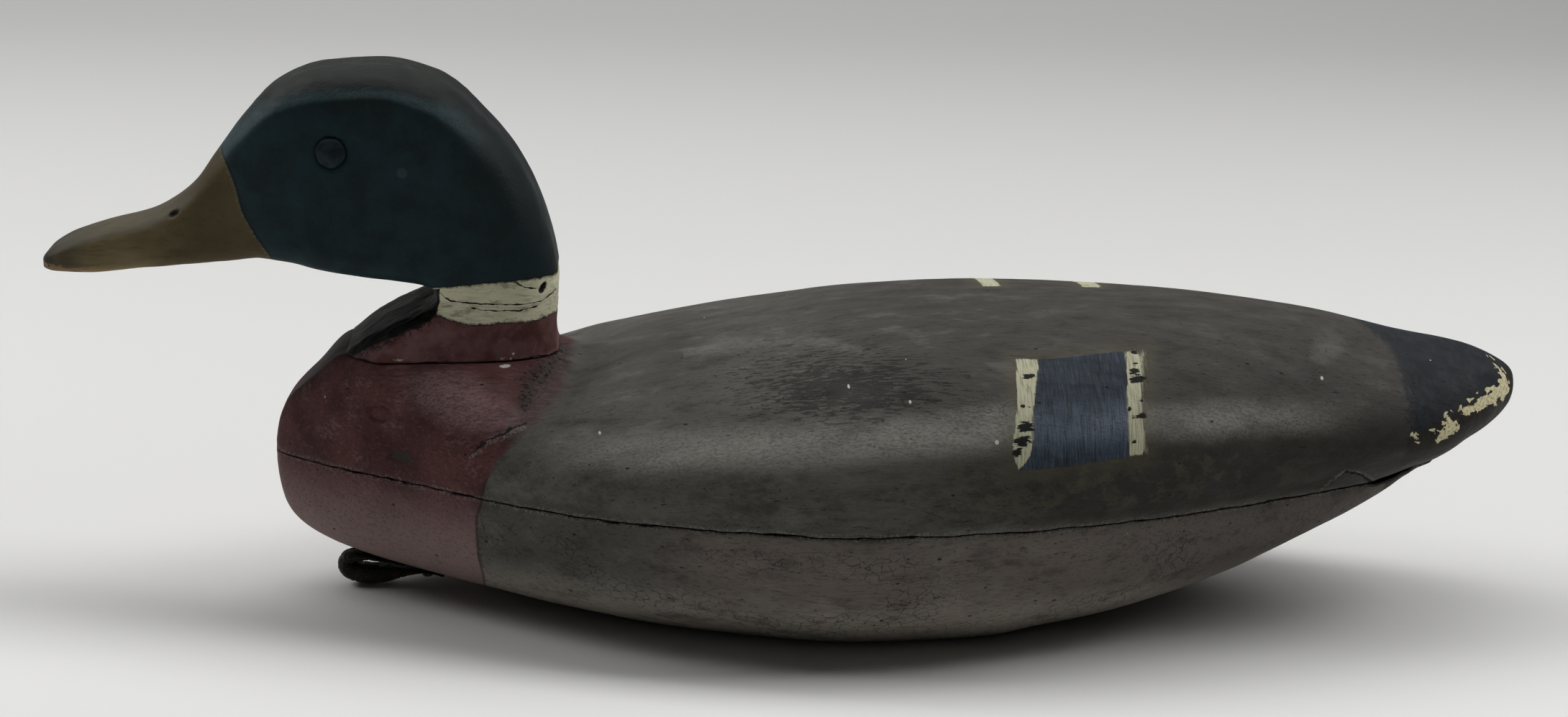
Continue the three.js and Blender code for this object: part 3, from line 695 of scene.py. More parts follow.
def make_tack(node, side):
    low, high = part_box(node)
    middle = (low + high) / 2 / MM
    foot = (low.y if side > 0 else high.y) / MM
    tall = (high.y - low.y) / MM
    dome = [(EYE_RADIUS, 0), (EYE_RADIUS, 0.3), (EYE_RADIUS - 0.1, 0.6)]
    for angle in np.linspace(0.25, math.pi / 2 - 0.06, 9):
        sunk = 0.22 * math.exp(-((math.cos(angle) - 0.62) / 0.1) ** 2)
        dome.append((EYE_RADIUS * math.cos(angle), 0.6 + (tall - 0.62) * math.sin(angle) - sunk))
    return turned(node + "_painted", (middle.x, foot, middle.z), (0, side, 0), dome)


def make_nail():
    low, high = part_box("line_tie_nail")
    middle = (low + high) / 2 / MM
    radius = (high.x - low.x) / 2 / MM
    tall = (high.z - low.z) / MM
    dome = [(radius, 0), (radius, 0.25)]
    for angle in np.linspace(0.3, math.pi / 2 - 0.08, 6):
        dome.append((radius * math.cos(angle), 0.25 + (tall - 0.25) * math.sin(angle)))
    return turned("line_tie_nail_head", (middle.x, middle.y, high.z / MM), (0, 0, -1), dome)


def make_thong():
    """The CAD loop, rounded by subdivision and creased like old leather."""
    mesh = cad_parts["line_tie_loop"].data.copy()
    piece = bpy.data.objects.new("line_tie_thong", mesh)
    bpy.context.scene.collection.objects.link(piece)
    mesh.materials.clear()
    bm = bmesh.new()
    bm.from_mesh(mesh)
    bmesh.ops.remove_doubles(bm, verts=bm.verts, dist=0.00005)
    bmesh.ops.join_triangles(bm, faces=bm.faces, angle_face_threshold=0.7, angle_shape_threshold=0.7)
    bm.to_mesh(mesh)
    bm.free()
    smooth = piece.modifiers.new("smooth", "SUBSURF")
    smooth.levels = smooth.render_levels = 3
    depsgraph = bpy.context.evaluated_depsgraph_get()
    rounded = bpy.data.meshes.new_from_object(piece.evaluated_get(depsgraph))
    piece.modifiers.clear()
    piece.data = rounded
    count = len(rounded.vertices)
    points = np.zeros(count * 3)
    normals = np.zeros(count * 3)
    rounded.vertices.foreach_get("co", points)
    rounded.vertices.foreach_get("normal", normals)
    points, normals = points.reshape(-1, 3) / MM, normals.reshape(-1, 3)
    crease = np.abs(noise(points, (2.2, 3.5, 1.4), 41))
    relief = -0.28 * np.exp(-(crease / 0.12) ** 2) - 0.1 * np.abs(noise(points, (0.8, 1, 0.8), 43))
    points = points + normals * relief[:, None]
    rounded.vertices.foreach_set("co", (points * MM).reshape(-1))
    rounded.shade_smooth()
    return piece


# Materials

class Paint:
    """A material under construction. Coordinates are in millimetres, in the bird's own frame."""

    def __init__(self, name):
        self.material = bpy.data.materials.new(name)
        self.material.use_nodes = True
        self.tree = self.material.node_tree
        self.shader = self.tree.nodes["Principled BSDF"]
        place = self.node("ShaderNodeTexCoord").outputs["Object"]
        scale = self.node("ShaderNodeVectorMath", operation="SCALE")
        self.feed(scale.inputs[0], place)
        scale.inputs["Scale"].default_value = 1 / MM
        self.place = scale.outputs[0]
        split = self.node("ShaderNodeSeparateXYZ")
        self.feed(split.inputs[0], self.place)
        self.x, self.y, self.z = split.outputs

    def node(self, kind, **settings):
        made = self.tree.nodes.new(kind)
        for key, value in settings.items():
            setattr(made, key, value)
        return made

    def feed(self, socket, value):
        if isinstance(value, bpy.types.NodeSocket):
            self.tree.links.new(value, socket)
        elif socket.type == "RGBA":
            socket.default_value = (*value, 1)
        else:
            socket.default_value = value

    def math(self, operation, *values):
        made = self.node("ShaderNodeMath", operation=operation)
        for socket, value in zip(made.inputs, values):
            self.feed(socket, value)
        return made.outputs[0]

    def step(self, value, low, high, to_low=0.0, to_high=1.0):
        """0 below low, 1 above high, and smooth between. low may be the larger one."""
        made = self.node("ShaderNodeMapRange", interpolation_type="SMOOTHSTEP")
        for socket, number in zip(made.inputs, (value, low, high, to_low, to_high)):
            self.feed(socket, number)
        return made.outputs[0]

    def field(self, name):
        return self.node("ShaderNodeAttribute", attribute_name=name).outputs["Fac"]

    def stretched(self, stretch, shift):
        made = self.node("ShaderNodeMapping")
        self.feed(made.inputs["Vector"], self.place)
        made.inputs["Location"].default_value = (shift, shift * 1.7, shift * 0.6)
        made.inputs["Scale"].default_value = tuple(1 / s for s in stretch)
        return made.outputs[0]

    def noise(self, size, stretch=(1, 1, 1), detail=4.0, rough=0.55, shift=0.0, warp=0.0):
        made = self.node("ShaderNodeTexNoise")
        self.feed(made.inputs["Vector"], self.stretched([size * s for s in stretch], shift))
        made.inputs["Scale"].default_value = 1
        made.inputs["Detail"].default_value = detail
        made.inputs["Roughness"].default_value = rough
        made.inputs["Distortion"].default_value = warp
        return made.outputs["Fac"]

    def cells(self, size, stretch=(1, 1, 1), feature="F1", shift=0.0, random=1.0):
        made = self.node("ShaderNodeTexVoronoi", feature=feature)
        self.feed(made.inputs["Vector"], self.stretched([size * s for s in stretch], shift))
        made.inputs["Scale"].default_value = 1
        made.inputs["Randomness"].default_value = random
        return made.outputs

    def mix(self, share, a, b, blend="MIX"):
        made = self.node("ShaderNodeMix", data_type="RGBA", blend_type=blend)
        self.feed(made.inputs[0], share)
        self.feed(made.inputs[6], a)
        self.feed(made.inputs[7], b)
        return made.outputs[2]

    def both(self, *shares):
        total = shares[0]
        for share in shares[1:]:
            total = self.math("MULTIPLY", total, share)
        return total

    def either(self, *shares):
        total = shares[0]
        for share in shares[1:]:
            total = self.math("MAXIMUM", total, share)
        return total

    def without(self, share, other):
        return self.math("MULTIPLY", share, self.math("SUBTRACT", 1.0, other))

    def wobble(self, field, size, reach, shift=0.0):
        """A field with its outline made uneven by up to about half of reach."""
        uneven = self.math("SUBTRACT", self.noise(size, detail=5.0, rough=0.6, shift=shift), 0.5)
        return self.math("MULTIPLY_ADD", uneven, reach, field)

    def specks(self, size, radius, amount, shift=0.0, stretch=(1, 1, 1)):
        """Scattered dots: one in each cell of that size, where the cell's own number is under amount."""
        found = self.cells(size, stretch=stretch, shift=shift)
        dot = self.step(found["Distance"], radius / size, radius / size * 0.6)
        chosen = self.step(self.math("FRACT", self.math("MULTIPLY", found["Color"], 7.31)), amount, amount - 0.01)
        return self.both(dot, chosen)

    def cracks(self, size, width, stretch=(1, 1, 1), shift=0.0):
        """A net of fine lines."""
        found = self.cells(size, stretch=stretch, feature="DISTANCE_TO_EDGE", shift=shift)
        return self.step(found["Distance"], width / size, width / size * 0.3)

    def spots(self, dots):
        """Round dots on the near side, each an (aft, height, radius)."""
        seen = self.node("ShaderNodeCombineXYZ")
        self.feed(seen.inputs[0], self.x)
        self.feed(seen.inputs[1], self.step(self.y, -1, 0, 0, 50))
        self.feed(seen.inputs[2], self.z)
        total = 0.0
        for aft, height, radius in dots:
            away = self.node("ShaderNodeVectorMath", operation="DISTANCE")
            self.feed(away.inputs[0], seen.outputs[0])
            self.feed(away.inputs[1], (aft - CENTRE_AFT, 0, height))
            total = self.either(total, self.step(away.outputs["Value"], radius, radius * 0.7))
        return total

    def finish(self, colour, roughness, height, depth, specular=0.3):
        self.feed(self.shader.inputs["Base Color"], colour)
        self.feed(self.shader.inputs["Roughness"], roughness)
        self.shader.inputs["Specular IOR Level"].default_value = specular
        bump = self.node("ShaderNodeBump")
        bump.inputs["Strength"].default_value = 1
        bump.inputs["Distance"].default_value = depth * MM
        self.feed(bump.inputs["Height"], height)
        self.feed(self.shader.inputs["Normal"], bump.outputs[0])
        return self.material


def tint(red, green, blue, lift=1.0):
    """A screen colour as the linear colour that a shader takes."""
    channel = [c / 255 for c in (red, green, blue)]
    linear = [c / 12.92 if c <= 0.04045 else ((c + 0.055) / 1.055) ** 2.4 for c in channel]
    return tuple(c * lift for c in linear)


BROWN_GREY = tint(61, 58, 54)
OLIVE_GREY = tint(76, 75, 70)
WEAR_AND_SHEEN_LIGHT = tint(126, 125, 118)
GRIME_AND_SHADE = tint(36, 36, 33)
MAROON = tint(84, 52, 51)
MAROON_DARK = tint(64, 36, 36)
MAROON_WORN = tint(130, 106, 105)
NECK_MAROON = tint(104, 76, 74)
MAROON_LOW = tint(140, 120, 117)
LOSS_GREY = tint(49, 44, 41)
NAVY = tint(50, 61, 72)
NAVY_LIGHT = tint(76, 85, 97)
NAVY_SHEEN = tint(98, 106, 120)
CREAM = tint(182, 180, 154)
CREAM_DULL = tint(148, 145, 120)
RIM_CREAM = tint(206, 197, 158)
RING_CREAM = tint(208, 205, 176)
HALO = tint(84, 79, 60)
TAIL_BLUE = tint(23, 27, 32)
TAIL_LIGHT = tint(33, 37, 42)
EDGE_BROWN_AND_NAPE_SHADE = tint(34, 29, 23)
HEAD_BLUE = tint(28, 47, 51)
HEAD_DARK = tint(26, 38, 41)
HEAD_SHADE = tint(16, 23, 25)
HEAD_SHEEN = tint(62, 78, 82)
HEAD_FLECK = tint(52, 62, 62)
CROWN_OLIVE_AND_SHADE = tint(22, 26, 23)
BILL_OLIVE = tint(134, 121, 89)
BILL_BROWN = tint(108, 94, 67)
BILL_DARK = tint(64, 55, 36)
BILL_TIP_AND_TOP_SHADE = tint(58, 54, 44)
BILL_RIM = tint(96, 92, 76)
BARE_WOOD = tint(132, 108, 80)
RAMP_GREY_AND_SHADE = tint(44, 43, 42)
RAMP_HOLLOW_SHADE = tint(24, 23, 22)
OLD_BLACK = tint(20, 19, 18)
CRACK_BLACK = tint(13, 12, 12)
LOW_BROWN = tint(101, 94, 88)
LOW_FLOOR_BOUNCE_LIGHT = tint(154, 147, 137)
DUST = tint(190, 188, 178)


def board_paint(name):
    p = Paint(name)
    blotch = p.noise(7, (2.2, 1, 1), detail=4.0, rough=0.62, shift=3)
    grain = p.noise(0.8, (13, 1, 1), detail=3.0, rough=0.6, shift=5)
    fine = p.noise(0.7, detail=3.0, rough=0.6, shift=9)
    dashes = p.step(p.noise(0.42, (10, 1, 1), detail=2.0, shift=8), 0.6, 0.68)

    # Greenish grey in front and low on the shoulders, brownish grey behind and above
    off_belt = p.math("ABSOLUTE", p.math("SUBTRACT", p.z, 52.0))
    warm = p.step(p.wobble(p.math("MULTIPLY_ADD", off_belt, 1.6, p.x), 30, 70), 5, 95)
    warm = p.either(warm, p.both(p.step(p.wobble(p.z, 10, 6, 61), 67, 73), p.step(p.wobble(p.x, 12, 14, 62), -20, -45)))
    colour = p.mix(warm, OLIVE_GREY, BROWN_GREY)
    low = p.step(p.z, 44, 36)
    # Paler towards the floor: painted light bounced up from the floor, in front and behind
    low_coat = p.mix(p.step(p.wobble(p.z, 20, 12, 22), 24, 8), LOW_BROWN, LOW_FLOOR_BOUNCE_LIGHT)
    low_front = p.mix(p.step(p.wobble(p.z, 14, 8, 65), 28, 8), OLIVE_GREY, LOW_FLOOR_BOUNCE_LIGHT)
    low_coat = p.mix(p.step(p.wobble(p.x, 30, 40, 24), -20, -60), low_coat, low_front)
    low_coat = p.mix(p.step(p.x, 50, 130, 0, 0.2), low_coat, GRIME_AND_SHADE)
    colour = p.mix(low, colour, low_coat)
    colour = p.mix(p.both(p.step(blotch, 0.52, 0.7), 0.45), colour, GRIME_AND_SHADE)
    colour = p.mix(p.both(p.step(blotch, 0.46, 0.32), p.step(p.x, 30, 90, 0.2, 0.08)), colour, WEAR_AND_SHEEN_LIGHT)
    colour = p.mix(p.both(p.step(grain, 0.5, 0.3), 0.32), colour, GRIME_AND_SHADE)
    colour = p.mix(p.both(dashes, 0.4), colour, OLD_BLACK)

    # Wear and a painted highlight along the shoulder, painted shade and grimy stains in the belt under it, painted
    # light on the front flank, the rubbed streaks and scuffs over it
    # Lighter band along the shoulder: wear, and a painted highlight where the shoulder turns to the light
    shoulder = p.wobble(p.field("shoulder"), 14, 6, 12)
    worn = p.both(p.step(p.math("ABSOLUTE", shoulder), 7, 1), p.step(p.x, 100, 60), p.step(p.x, -85, -50))
    crumb = p.noise(0.55, (2.2, 1, 1), detail=4.0, rough=0.7, shift=41)
    worn = p.both(worn, p.step(crumb, 0.36, 0.64), p.step(p.noise(11, (2, 1, 1), shift=42), 0.36, 0.6))
    colour = p.mix(p.both(worn, 0.6), colour, WEAR_AND_SHEEN_LIGHT)
    # Painted shade: the belt under the shoulder is darkened where the flank turns away from the light
    belt = p.both(p.step(shoulder, -4, -10), p.step(p.z, 41, 44), p.step(p.x, 20, 100, 0.06, 0.5))
    colour = p.mix(belt, colour, GRIME_AND_SHADE)
    # Painted light: the front flank under the shoulder is lightened
    flank = p.both(p.step(shoulder, -1, -5), p.step(p.z, 41, 44), p.step(p.x, 70, 0), 0.24)
    colour = p.mix(flank, colour, WEAR_AND_SHEEN_LIGHT)
    stain = p.step(p.noise(6, (2.4, 1, 1), detail=5.0, rough=0.75, shift=71), 0.4, 0.68)
    colour = p.mix(p.both(stain, p.step(p.z, 39, 44), p.step(p.z, 64, 52), 0.6), colour, GRIME_AND_SHADE)
    mottle = p.step(p.noise(4.5, (1.6, 1, 1), detail=5.0, rough=0.7, shift=68), 0.49, 0.6)
    mottle = p.both(mottle, p.step(p.z, 42, 47), p.step(p.z, 63, 56), p.step(p.x, 5, 40), p.step(p.x, 155, 120))
    colour = p.mix(p.both(mottle, 0.35), colour, HALO)
    streaks = p.noise(0.85, (6, 1, 1), detail=5.0, rough=0.75, shift=12)
    rubbed = p.math("MULTIPLY_ADD", p.math("MAXIMUM", p.field("rubbed"), -0.6), 0.15, streaks)
    rubbed = p.step(rubbed, 0.53, 0.59)
    colour = p.mix(p.both(rubbed, 0.7), colour, OLD_BLACK)
    dusty = p.both(p.step(p.wobble(p.z, 8, 6, 66), 66, 76), p.step(p.wobble(p.x, 14, 16, 67), -30, -55))
    colour = p.mix(p.both(dusty, 0.3), colour, WEAR_AND_SHEEN_LIGHT)
    scuff = p.both(p.step(p.wobble(p.field("scuff"), 5, 2.2, 25), 0.8, 0.05), p.step(crumb, 0.3, 0.6), 0.28)
    smear = p.both(p.step(p.wobble(p.field("smear"), 4, 1.4, 26), -0.2, 0.8), 0.2)
    colour = p.mix(p.either(scuff, smear), colour, WEAR_AND_SHEEN_LIGHT)

    # Painted highlight: a pale band along the shoulder where it catches the light, broken up by crumbs and blotches
    sheen = p.step(p.math("ABSOLUTE", p.wobble(p.field("sheen"), 12, 4, 60)), 7, 0.5)
    sheen = p.both(sheen, p.step(p.x, 165, 120), p.step(p.x, -95, -35), p.step(crumb, 0.36, 0.6, 0.5, 1))
    sheen = p.both(sheen, p.step(p.noise(9, (2.6, 1, 1), detail=3.0, shift=72), 0.34, 0.6, 0.6, 1))
    colour = p.mix(sheen, colour, WEAR_AND_SHEEN_LIGHT)

    # Fine craquelure
    net_zone = p.both(p.step(p.z, 38, 32), p.step(p.noise(22, (2, 1, 1), detail=1.0, shift=21), 0.4, 0.55))
    net = p.both(p.cracks(2.7, 0.16, (1.2, 1, 1), 2), net_zone, p.step(fine, 0.4, 0.55))
    craze_zone = p.step(p.noise(17, (2, 1, 1), detail=2.0, shift=69), 0.4, 0.58)
    craze = p.both(p.cracks(3.0, 0.11, (4.5, 1, 1), 11), craze_zone, p.step(fine, 0.46, 0.6))
    net = p.either(net, p.both(craze, p.step(p.z, 38, 44), 0.6))
    colour = p.mix(p.both(net, 0.7), colour, OLD_BLACK)

    # Speculum: navy with strokes across the wing, between two chipped bars
    bar_field, blue_field = p.field("bar"), p.field("blue")
    across = p.noise(0.5, (1, 14, 14), detail=4.0, rough=0.65, shift=14, warp=0.5)
    halo = p.step(p.wobble(p.math("MAXIMUM", bar_field, blue_field), 6, 7, 8), -6, 0)
    colour = p.mix(p.both(halo, 0.35), colour, HALO)
    blue = p.step(p.wobble(blue_field, 4, 0.9, 4), -0.25, 0.2)
    navy = p.mix(p.both(p.step(across, 0.5, 0.66), 0.7), NAVY, NAVY_LIGHT)
    navy = p.mix(p.both(p.step(across, 0.48, 0.36), 0.55), navy, OLD_BLACK)
    navy = p.mix(p.both(p.step(blotch, 0.5, 0.65), 0.35), navy, OLD_BLACK)
    navy = p.mix(p.step(p.z, 66, 76, 0, 0.35), navy, OLD_BLACK)
    # Painted highlight on the navy along the same shoulder band
    navy = p.mix(p.both(sheen, p.step(across, 0.3, 0.6, 0.5, 1)), navy, NAVY_SHEEN)
    colour = p.mix(blue, colour, navy)
    ragged_edge = p.step(p.x, 90, 93, 1.6, 7)
    fringe = p.math("MULTIPLY_ADD", p.math("SUBTRACT", across, 0.5), ragged_edge, p.wobble(bar_field, 3, 0.8, 5))
    bar = p.step(fringe, -0.15, p.step(p.x, 90.5, 93, 0.25, 2.2))
    ragged = p.noise(1.1, (3.2, 1.2, 0.55), detail=4.0, rough=0.7, shift=31)
    chips = p.step(p.math("MULTIPLY_ADD", p.math("MAXIMUM", p.field("chip"), -0.35), 0.4, ragged), 0.56, 0.58)
    cream = p.mix(p.step(across, 0.34, 0.56), CREAM_DULL, CREAM)
    colour = p.mix(bar, colour, cream)
    colour = p.mix(p.both(chips, p.step(bar_field, -0.8, 0)), colour, OLD_BLACK)

    # Tail: slate blue with a brown edge and a flaking cream rim
    tail_strokes = p.noise(0.9, (2.5, 9, 3), detail=3.0, rough=0.6, shift=16, warp=0.4)
    tail_field = p.math("MULTIPLY_ADD", p.math("SUBTRACT", tail_strokes, 0.5), 9.0, p.field("tail"))
    tail = p.step(tail_field, -1.8, 1.8)
    tail_coat = p.mix(p.step(tail_strokes, 0.42, 0.68), TAIL_BLUE, TAIL_LIGHT)
    colour = p.mix(tail, colour, tail_coat)
    rim_field = p.field("rim")
    edge_under = p.step(p.wobble(p.field("under_rim"), 3, 1.6, 17), -0.5, 0.9)
    colour = p.mix(p.both(edge_under, 0.9), colour, EDGE_BROWN_AND_NAPE_SHADE)
    flake = p.math("FRACT", p.math("MULTIPLY", p.cells(1.5, (1.6, 1.3, 0.9), shift=19)["Color"], 5.7))
    jag = p.math("MULTIPLY_ADD", p.math("SUBTRACT", flake, 0.5), 2.6, p.wobble(rim_field, 1.2, 1.6, 20))
    rim = p.step(jag, -0.3, -0.05)
    rim_coat = p.mix(p.step(fine, 0.36, 0.52), CREAM_DULL, RIM_CREAM)
    colour = p.mix(rim, colour, rim_coat)

    # Breast: maroon, greyer low down, with a facet in front of the head darkened by dark paint and painted shade
    maroon_field = p.wobble(p.field("maroon"), 9, 2.2, 10)
    soft = p.step(p.z, 48, 62, 0.5, 2.5)
    maroon = p.step(p.math("DIVIDE", maroon_field, soft), -1, 1)
    coat = p.mix(p.step(p.noise(14, detail=3.0, shift=27), 0.35, 0.65), MAROON, MAROON_DARK)
    coat = p.mix(p.step(p.wobble(p.z, 16, 8, 28), 46, 14), coat, MAROON_LOW)
    filler = p.step(p.wobble(p.field("filler"), 4, 4, 30), 0, 2.5)
    coat = p.mix(p.both(filler, 0.6), coat, BROWN_GREY)
    coat = p.mix(p.both(filler, p.step(fine, 0.56, 0.68), 0.3), coat, MAROON_WORN)
    wear = p.both(p.step(p.wobble(p.field("wear"), 6, 0.7, 46), -0.1, 0.7), p.step(crumb, 0.35, 0.6, 0.3, 1))
    coat = p.mix(p.both(wear, 0.75), coat, MAROON_WORN)
    coat = p.mix(p.both(p.step(grain, 0.56, 0.7), 0.22), coat, MAROON_WORN)
    coat = p.mix(p.both(p.step(grain, 0.5, 0.3), 0.3), coat, OLD_BLACK)
    coat = p.mix(p.both(p.step(blotch, 0.46, 0.32), p.step(grain, 0.4, 0.6), 0.25), coat, MAROON_WORN)
    coat = p.mix(p.both(dashes, 0.45), coat, OLD_BLACK)
    colour = p.mix(maroon, colour, coat)
    overlap = p.both(p.step(p.math("ABSOLUTE", maroon_field), 0.6, 0.1), p.step(p.z, 50, 44))
    colour = p.mix(p.both(overlap, 0.6), colour, OLD_BLACK)
    # Painted shade over dark paint: the facet in front of the head is greyed and darkened
    facet = p.both(p.step(p.wobble(p.field("facet"), 5, 3, 28), -1.5, 1.5), p.step(p.z, 50, 66))
    colour = p.mix(p.both(facet, 0.8), colour, RAMP_GREY_AND_SHADE)
    loss_field = p.math("MULTIPLY_ADD", p.math("SUBTRACT", p.noise(2, (1.5, 1, 1), shift=29), 0.5), 2.2, p.field("loss"))
    loss = p.step(loss_field, 0.15, 0.2)
    colour = p.mix(loss, colour, LOSS_GREY)

    # Cracks, the seam, painted shade at the nape, pits and dust
    thin = p.step(p.noise(3, detail=2.0, shift=35), 0.35, 0.65, 0.12, 0.6)
    line = p.math("ABSOLUTE", p.wobble(p.field("crack"), 2, 1.6, 36))
    crack = p.both(p.step(p.math("DIVIDE", line, thin), 1.2, 0.8), p.field("cracked"))
    seam_away = p.wobble(p.field("seam"), 2.0, 0.5, 37)
    seam = p.step(seam_away, 0.2, 0.08)
    # Painted shade where the board meets the back of the neck, with dark crumbs in it
    nape_shade = p.wobble(p.field("nape_shade"), 3, 3.5, 63)
    crumbs = p.both(p.step(p.noise(1.5, detail=4.0, rough=0.7, shift=64), 0.56, 0.64), p.step(nape_shade, -1.5, 1.5))
    colour = p.mix(p.both(p.step(nape_shade, -1, 2.5), 0.6), colour, EDGE_BROWN_AND_NAPE_SHADE)
    lifted = p.both(p.step(p.field("crack"), 0.2, 0.5), p.step(p.field("crack"), 1.7, 0.9), p.field("cracked"))
    colour = p.mix(p.both(lifted, p.step(fine, 0.45, 0.6), 0.5), colour, WEAR_AND_SHEEN_LIGHT)
    wide = p.both(p.step(p.noise(3.2, (3, 1, 1), detail=3.0, rough=0.65, shift=39), 0.6, 0.66), p.step(seam_away, 0.6, 0.4))
    groove = p.both(p.step(p.x, 162, 170), p.step(p.x, 185, 180), p.step(p.y, 0, -1), p.step(seam_away, 1.0, 0.6))
    dark = p.either(crack, seam, wide, groove, crumbs)
    lip = p.both(p.step(seam_away, 1.5, 0.7), p.step(fine, 0.52, 0.6))
    colour = p.mix(p.both(lip, 0.5), colour, WEAR_AND_SHEEN_LIGHT)
    colour = p.mix(dark, colour, CRACK_BLACK)
    pits = p.specks(5, 0.42, 0.4, 44, (1.7, 1, 1))
    dots = p.specks(9, 0.32, 0.2, 40)
    colour = p.mix(p.both(pits, 0.85), colour, OLD_BLACK)
    colour = p.mix(p.both(dots, p.step(p.z, 38, 46, 0.35, 0.9)), colour, DUST)
    colour = p.mix(p.either(p.spots(BOARD_DOTS), p.step(p.wobble(p.field("fleck"), 1, 1.1, 48), 0, 0.2)), colour, DUST)

    height = p.math("MULTIPLY_ADD", grain, 0.35, p.math("MULTIPLY", fine, 0.4))
    height = p.math("MULTIPLY_ADD", across, p.both(p.either(blue, bar), 1.7), height)
    height = p.math("MULTIPLY_ADD", tail_strokes, p.both(tail, 0.9), height)
    height = p.math("MULTIPLY_ADD", p.either(p.both(rim, 0.6), p.both(bar, 0.4)), 0.8, height)
    holes = p.either(dark, chips, loss, pits, p.both(rubbed, 0.35))
    height = p.math("MULTIPLY_ADD", holes, -1.4, height)
    return p.finish(colour, p.step(blotch, 0.3, 0.7, 0.6, 0.74), height, 0.28, 0.14)


def head_paint(name):
    p = Paint(name)
    blotch = p.noise(8, detail=4.0, rough=0.6, shift=3)
    fine = p.noise(0.7, detail=3.0, rough=0.6, shift=9)
    brushed = p.noise(1.5, (3, 1, 2), detail=4.0, rough=0.6, shift=6)
    colour = p.mix(p.step(blotch, 0.35, 0.68), HEAD_BLUE, HEAD_DARK)
    # Darker olive high on the crown, and painted shade on the faces that look up
    crown = p.either(p.both(p.step(p.wobble(p.z, 20, 14, 2), 138, 150), 0.8), p.step(p.field("up"), 0.45, 0.8))
    colour = p.mix(crown, colour, CROWN_OLIVE_AND_SHADE)
    up = p.field("up")
    # Painted shade on the back of the head, and a painted highlight along the crown's edge
    back = p.both(p.step(p.x, -104, -84), p.step(up, -0.25, 0.3), 0.8)
    colour = p.mix(back, colour, HEAD_SHADE)
    edge = p.both(p.step(up, 0.28, 0.45), p.step(up, 0.7, 0.5), p.step(p.x, -84, -102))
    colour = p.mix(p.both(edge, p.step(fine, 0.3, 0.6, 0.4, 0.7)), colour, HEAD_SHEEN)
    colour = p.mix(p.both(p.spots([HEAD_SCAR]), 0.4), colour, HEAD_SHEEN)
    colour = p.mix(p.both(p.step(fine, 0.58, 0.72), 0.25), colour, HEAD_FLECK)

    bill_field = p.wobble(p.field("bill"), 3, 0.9, 4)
    bill = p.step(bill_field, -0.2, 0.2)
    long_grain = p.noise(0.9, (9, 1, 1.4), detail=3.0, rough=0.6, shift=5)
    coat = p.mix(p.step(p.noise(12, (2, 1, 1), detail=3.0, shift=8), 0.35, 0.65), BILL_OLIVE, BILL_BROWN)
    coat = p.mix(p.both(p.step(long_grain, 0.5, 0.3), 0.3), coat, OLD_BLACK)
    coat = p.mix(p.both(p.step(p.wobble(p.x, 16, 16, 51), -194, -166), 0.85), coat, BILL_DARK)
    coat = p.mix(p.both(p.step(p.wobble(p.x, 6, 9, 11), -194, -205), 0.8), coat, BILL_TIP_AND_TOP_SHADE)
    coat = p.mix(p.both(p.step(p.wobble(p.x, 4, 3, 12), -207, -211), 0.7), coat, OLD_BLACK)
    low_edge = p.step(p.wobble(p.z, 2.4, 2.4, 13), 96.3, 95.8)
    bare = p.both(low_edge, p.step(p.x, -192, -196), p.step(p.noise(2, (3, 1, 1), shift=14), 0.44, 0.5))
    coat = p.mix(p.both(bare, 0.8), coat, BARE_WOOD)
    # Painted shade: the top of the bill, where it faces up, is darkened to the tip's colour
    coat = p.mix(p.both(p.step(p.field("up"), 0.25, 0.8), 0.75), coat, BILL_TIP_AND_TOP_SHADE)
    nostril = p.step(p.wobble(p.field("nostril"), 2, 0.5, 14), -0.1, 0.25)
    coat = p.mix(p.both(nostril, 0.85), coat, OLD_BLACK)
    colour = p.mix(bill, colour, coat)
    bill_line = p.step(p.math("ABSOLUTE", p.math("ADD", bill_field, 0.5)), 0.5, 0.2)
    colour = p.mix(p.both(bill_line, 0.6), colour, OLD_BLACK)
    bill_rim = p.step(p.math("ABSOLUTE", p.math("SUBTRACT", bill_field, 0.4)), 0.7, 0.3)
    colour = p.mix(p.both(bill_rim, p.step(fine, 0.46, 0.6), 0.6), colour, BILL_RIM)

    # Maroon under the ring, and the dark ramp in front: dark paint with painted shade under the head, deepest next to
    # its ridge
    below = p.step(p.wobble(p.field("below"), 2.2, 1.8, 15), -0.2, 0.2)
    maroon = p.mix(p.step(blotch, 0.35, 0.65), NECK_MAROON, MAROON)
    maroon = p.mix(p.both(p.step(brushed, 0.55, 0.7), 0.3), maroon, MAROON_WORN)
    colour = p.mix(below, colour, maroon)
    ring_field = p.wobble(p.field("ring"), 2.2, 1.6, 17)
    ring = p.step(ring_field, -0.15, 0.15)
    along = p.noise(0.9, (7, 2, 1), detail=4.0, rough=0.62, shift=18)
    cream = p.mix(p.step(along, 0.3, 0.6), CREAM, RING_CREAM)
    cream = p.mix(p.both(p.step(p.noise(2.6, (3, 1, 1), detail=4.0, rough=0.7, shift=19), 0.56, 0.66), 0.5), cream, HALO)
    colour = p.mix(ring, colour, cream)
    ring_edge = p.both(p.step(p.math("ABSOLUTE", ring_field), 0.7, 0.2), p.step(fine, 0.4, 0.5))
    colour = p.mix(p.both(ring_edge, 0.6), colour, OLD_BLACK)
    ramp_field = p.wobble(p.field("ramp"), 2.4, 1.6, 16)
    ramp = p.step(ramp_field, -0.3, 0.4)
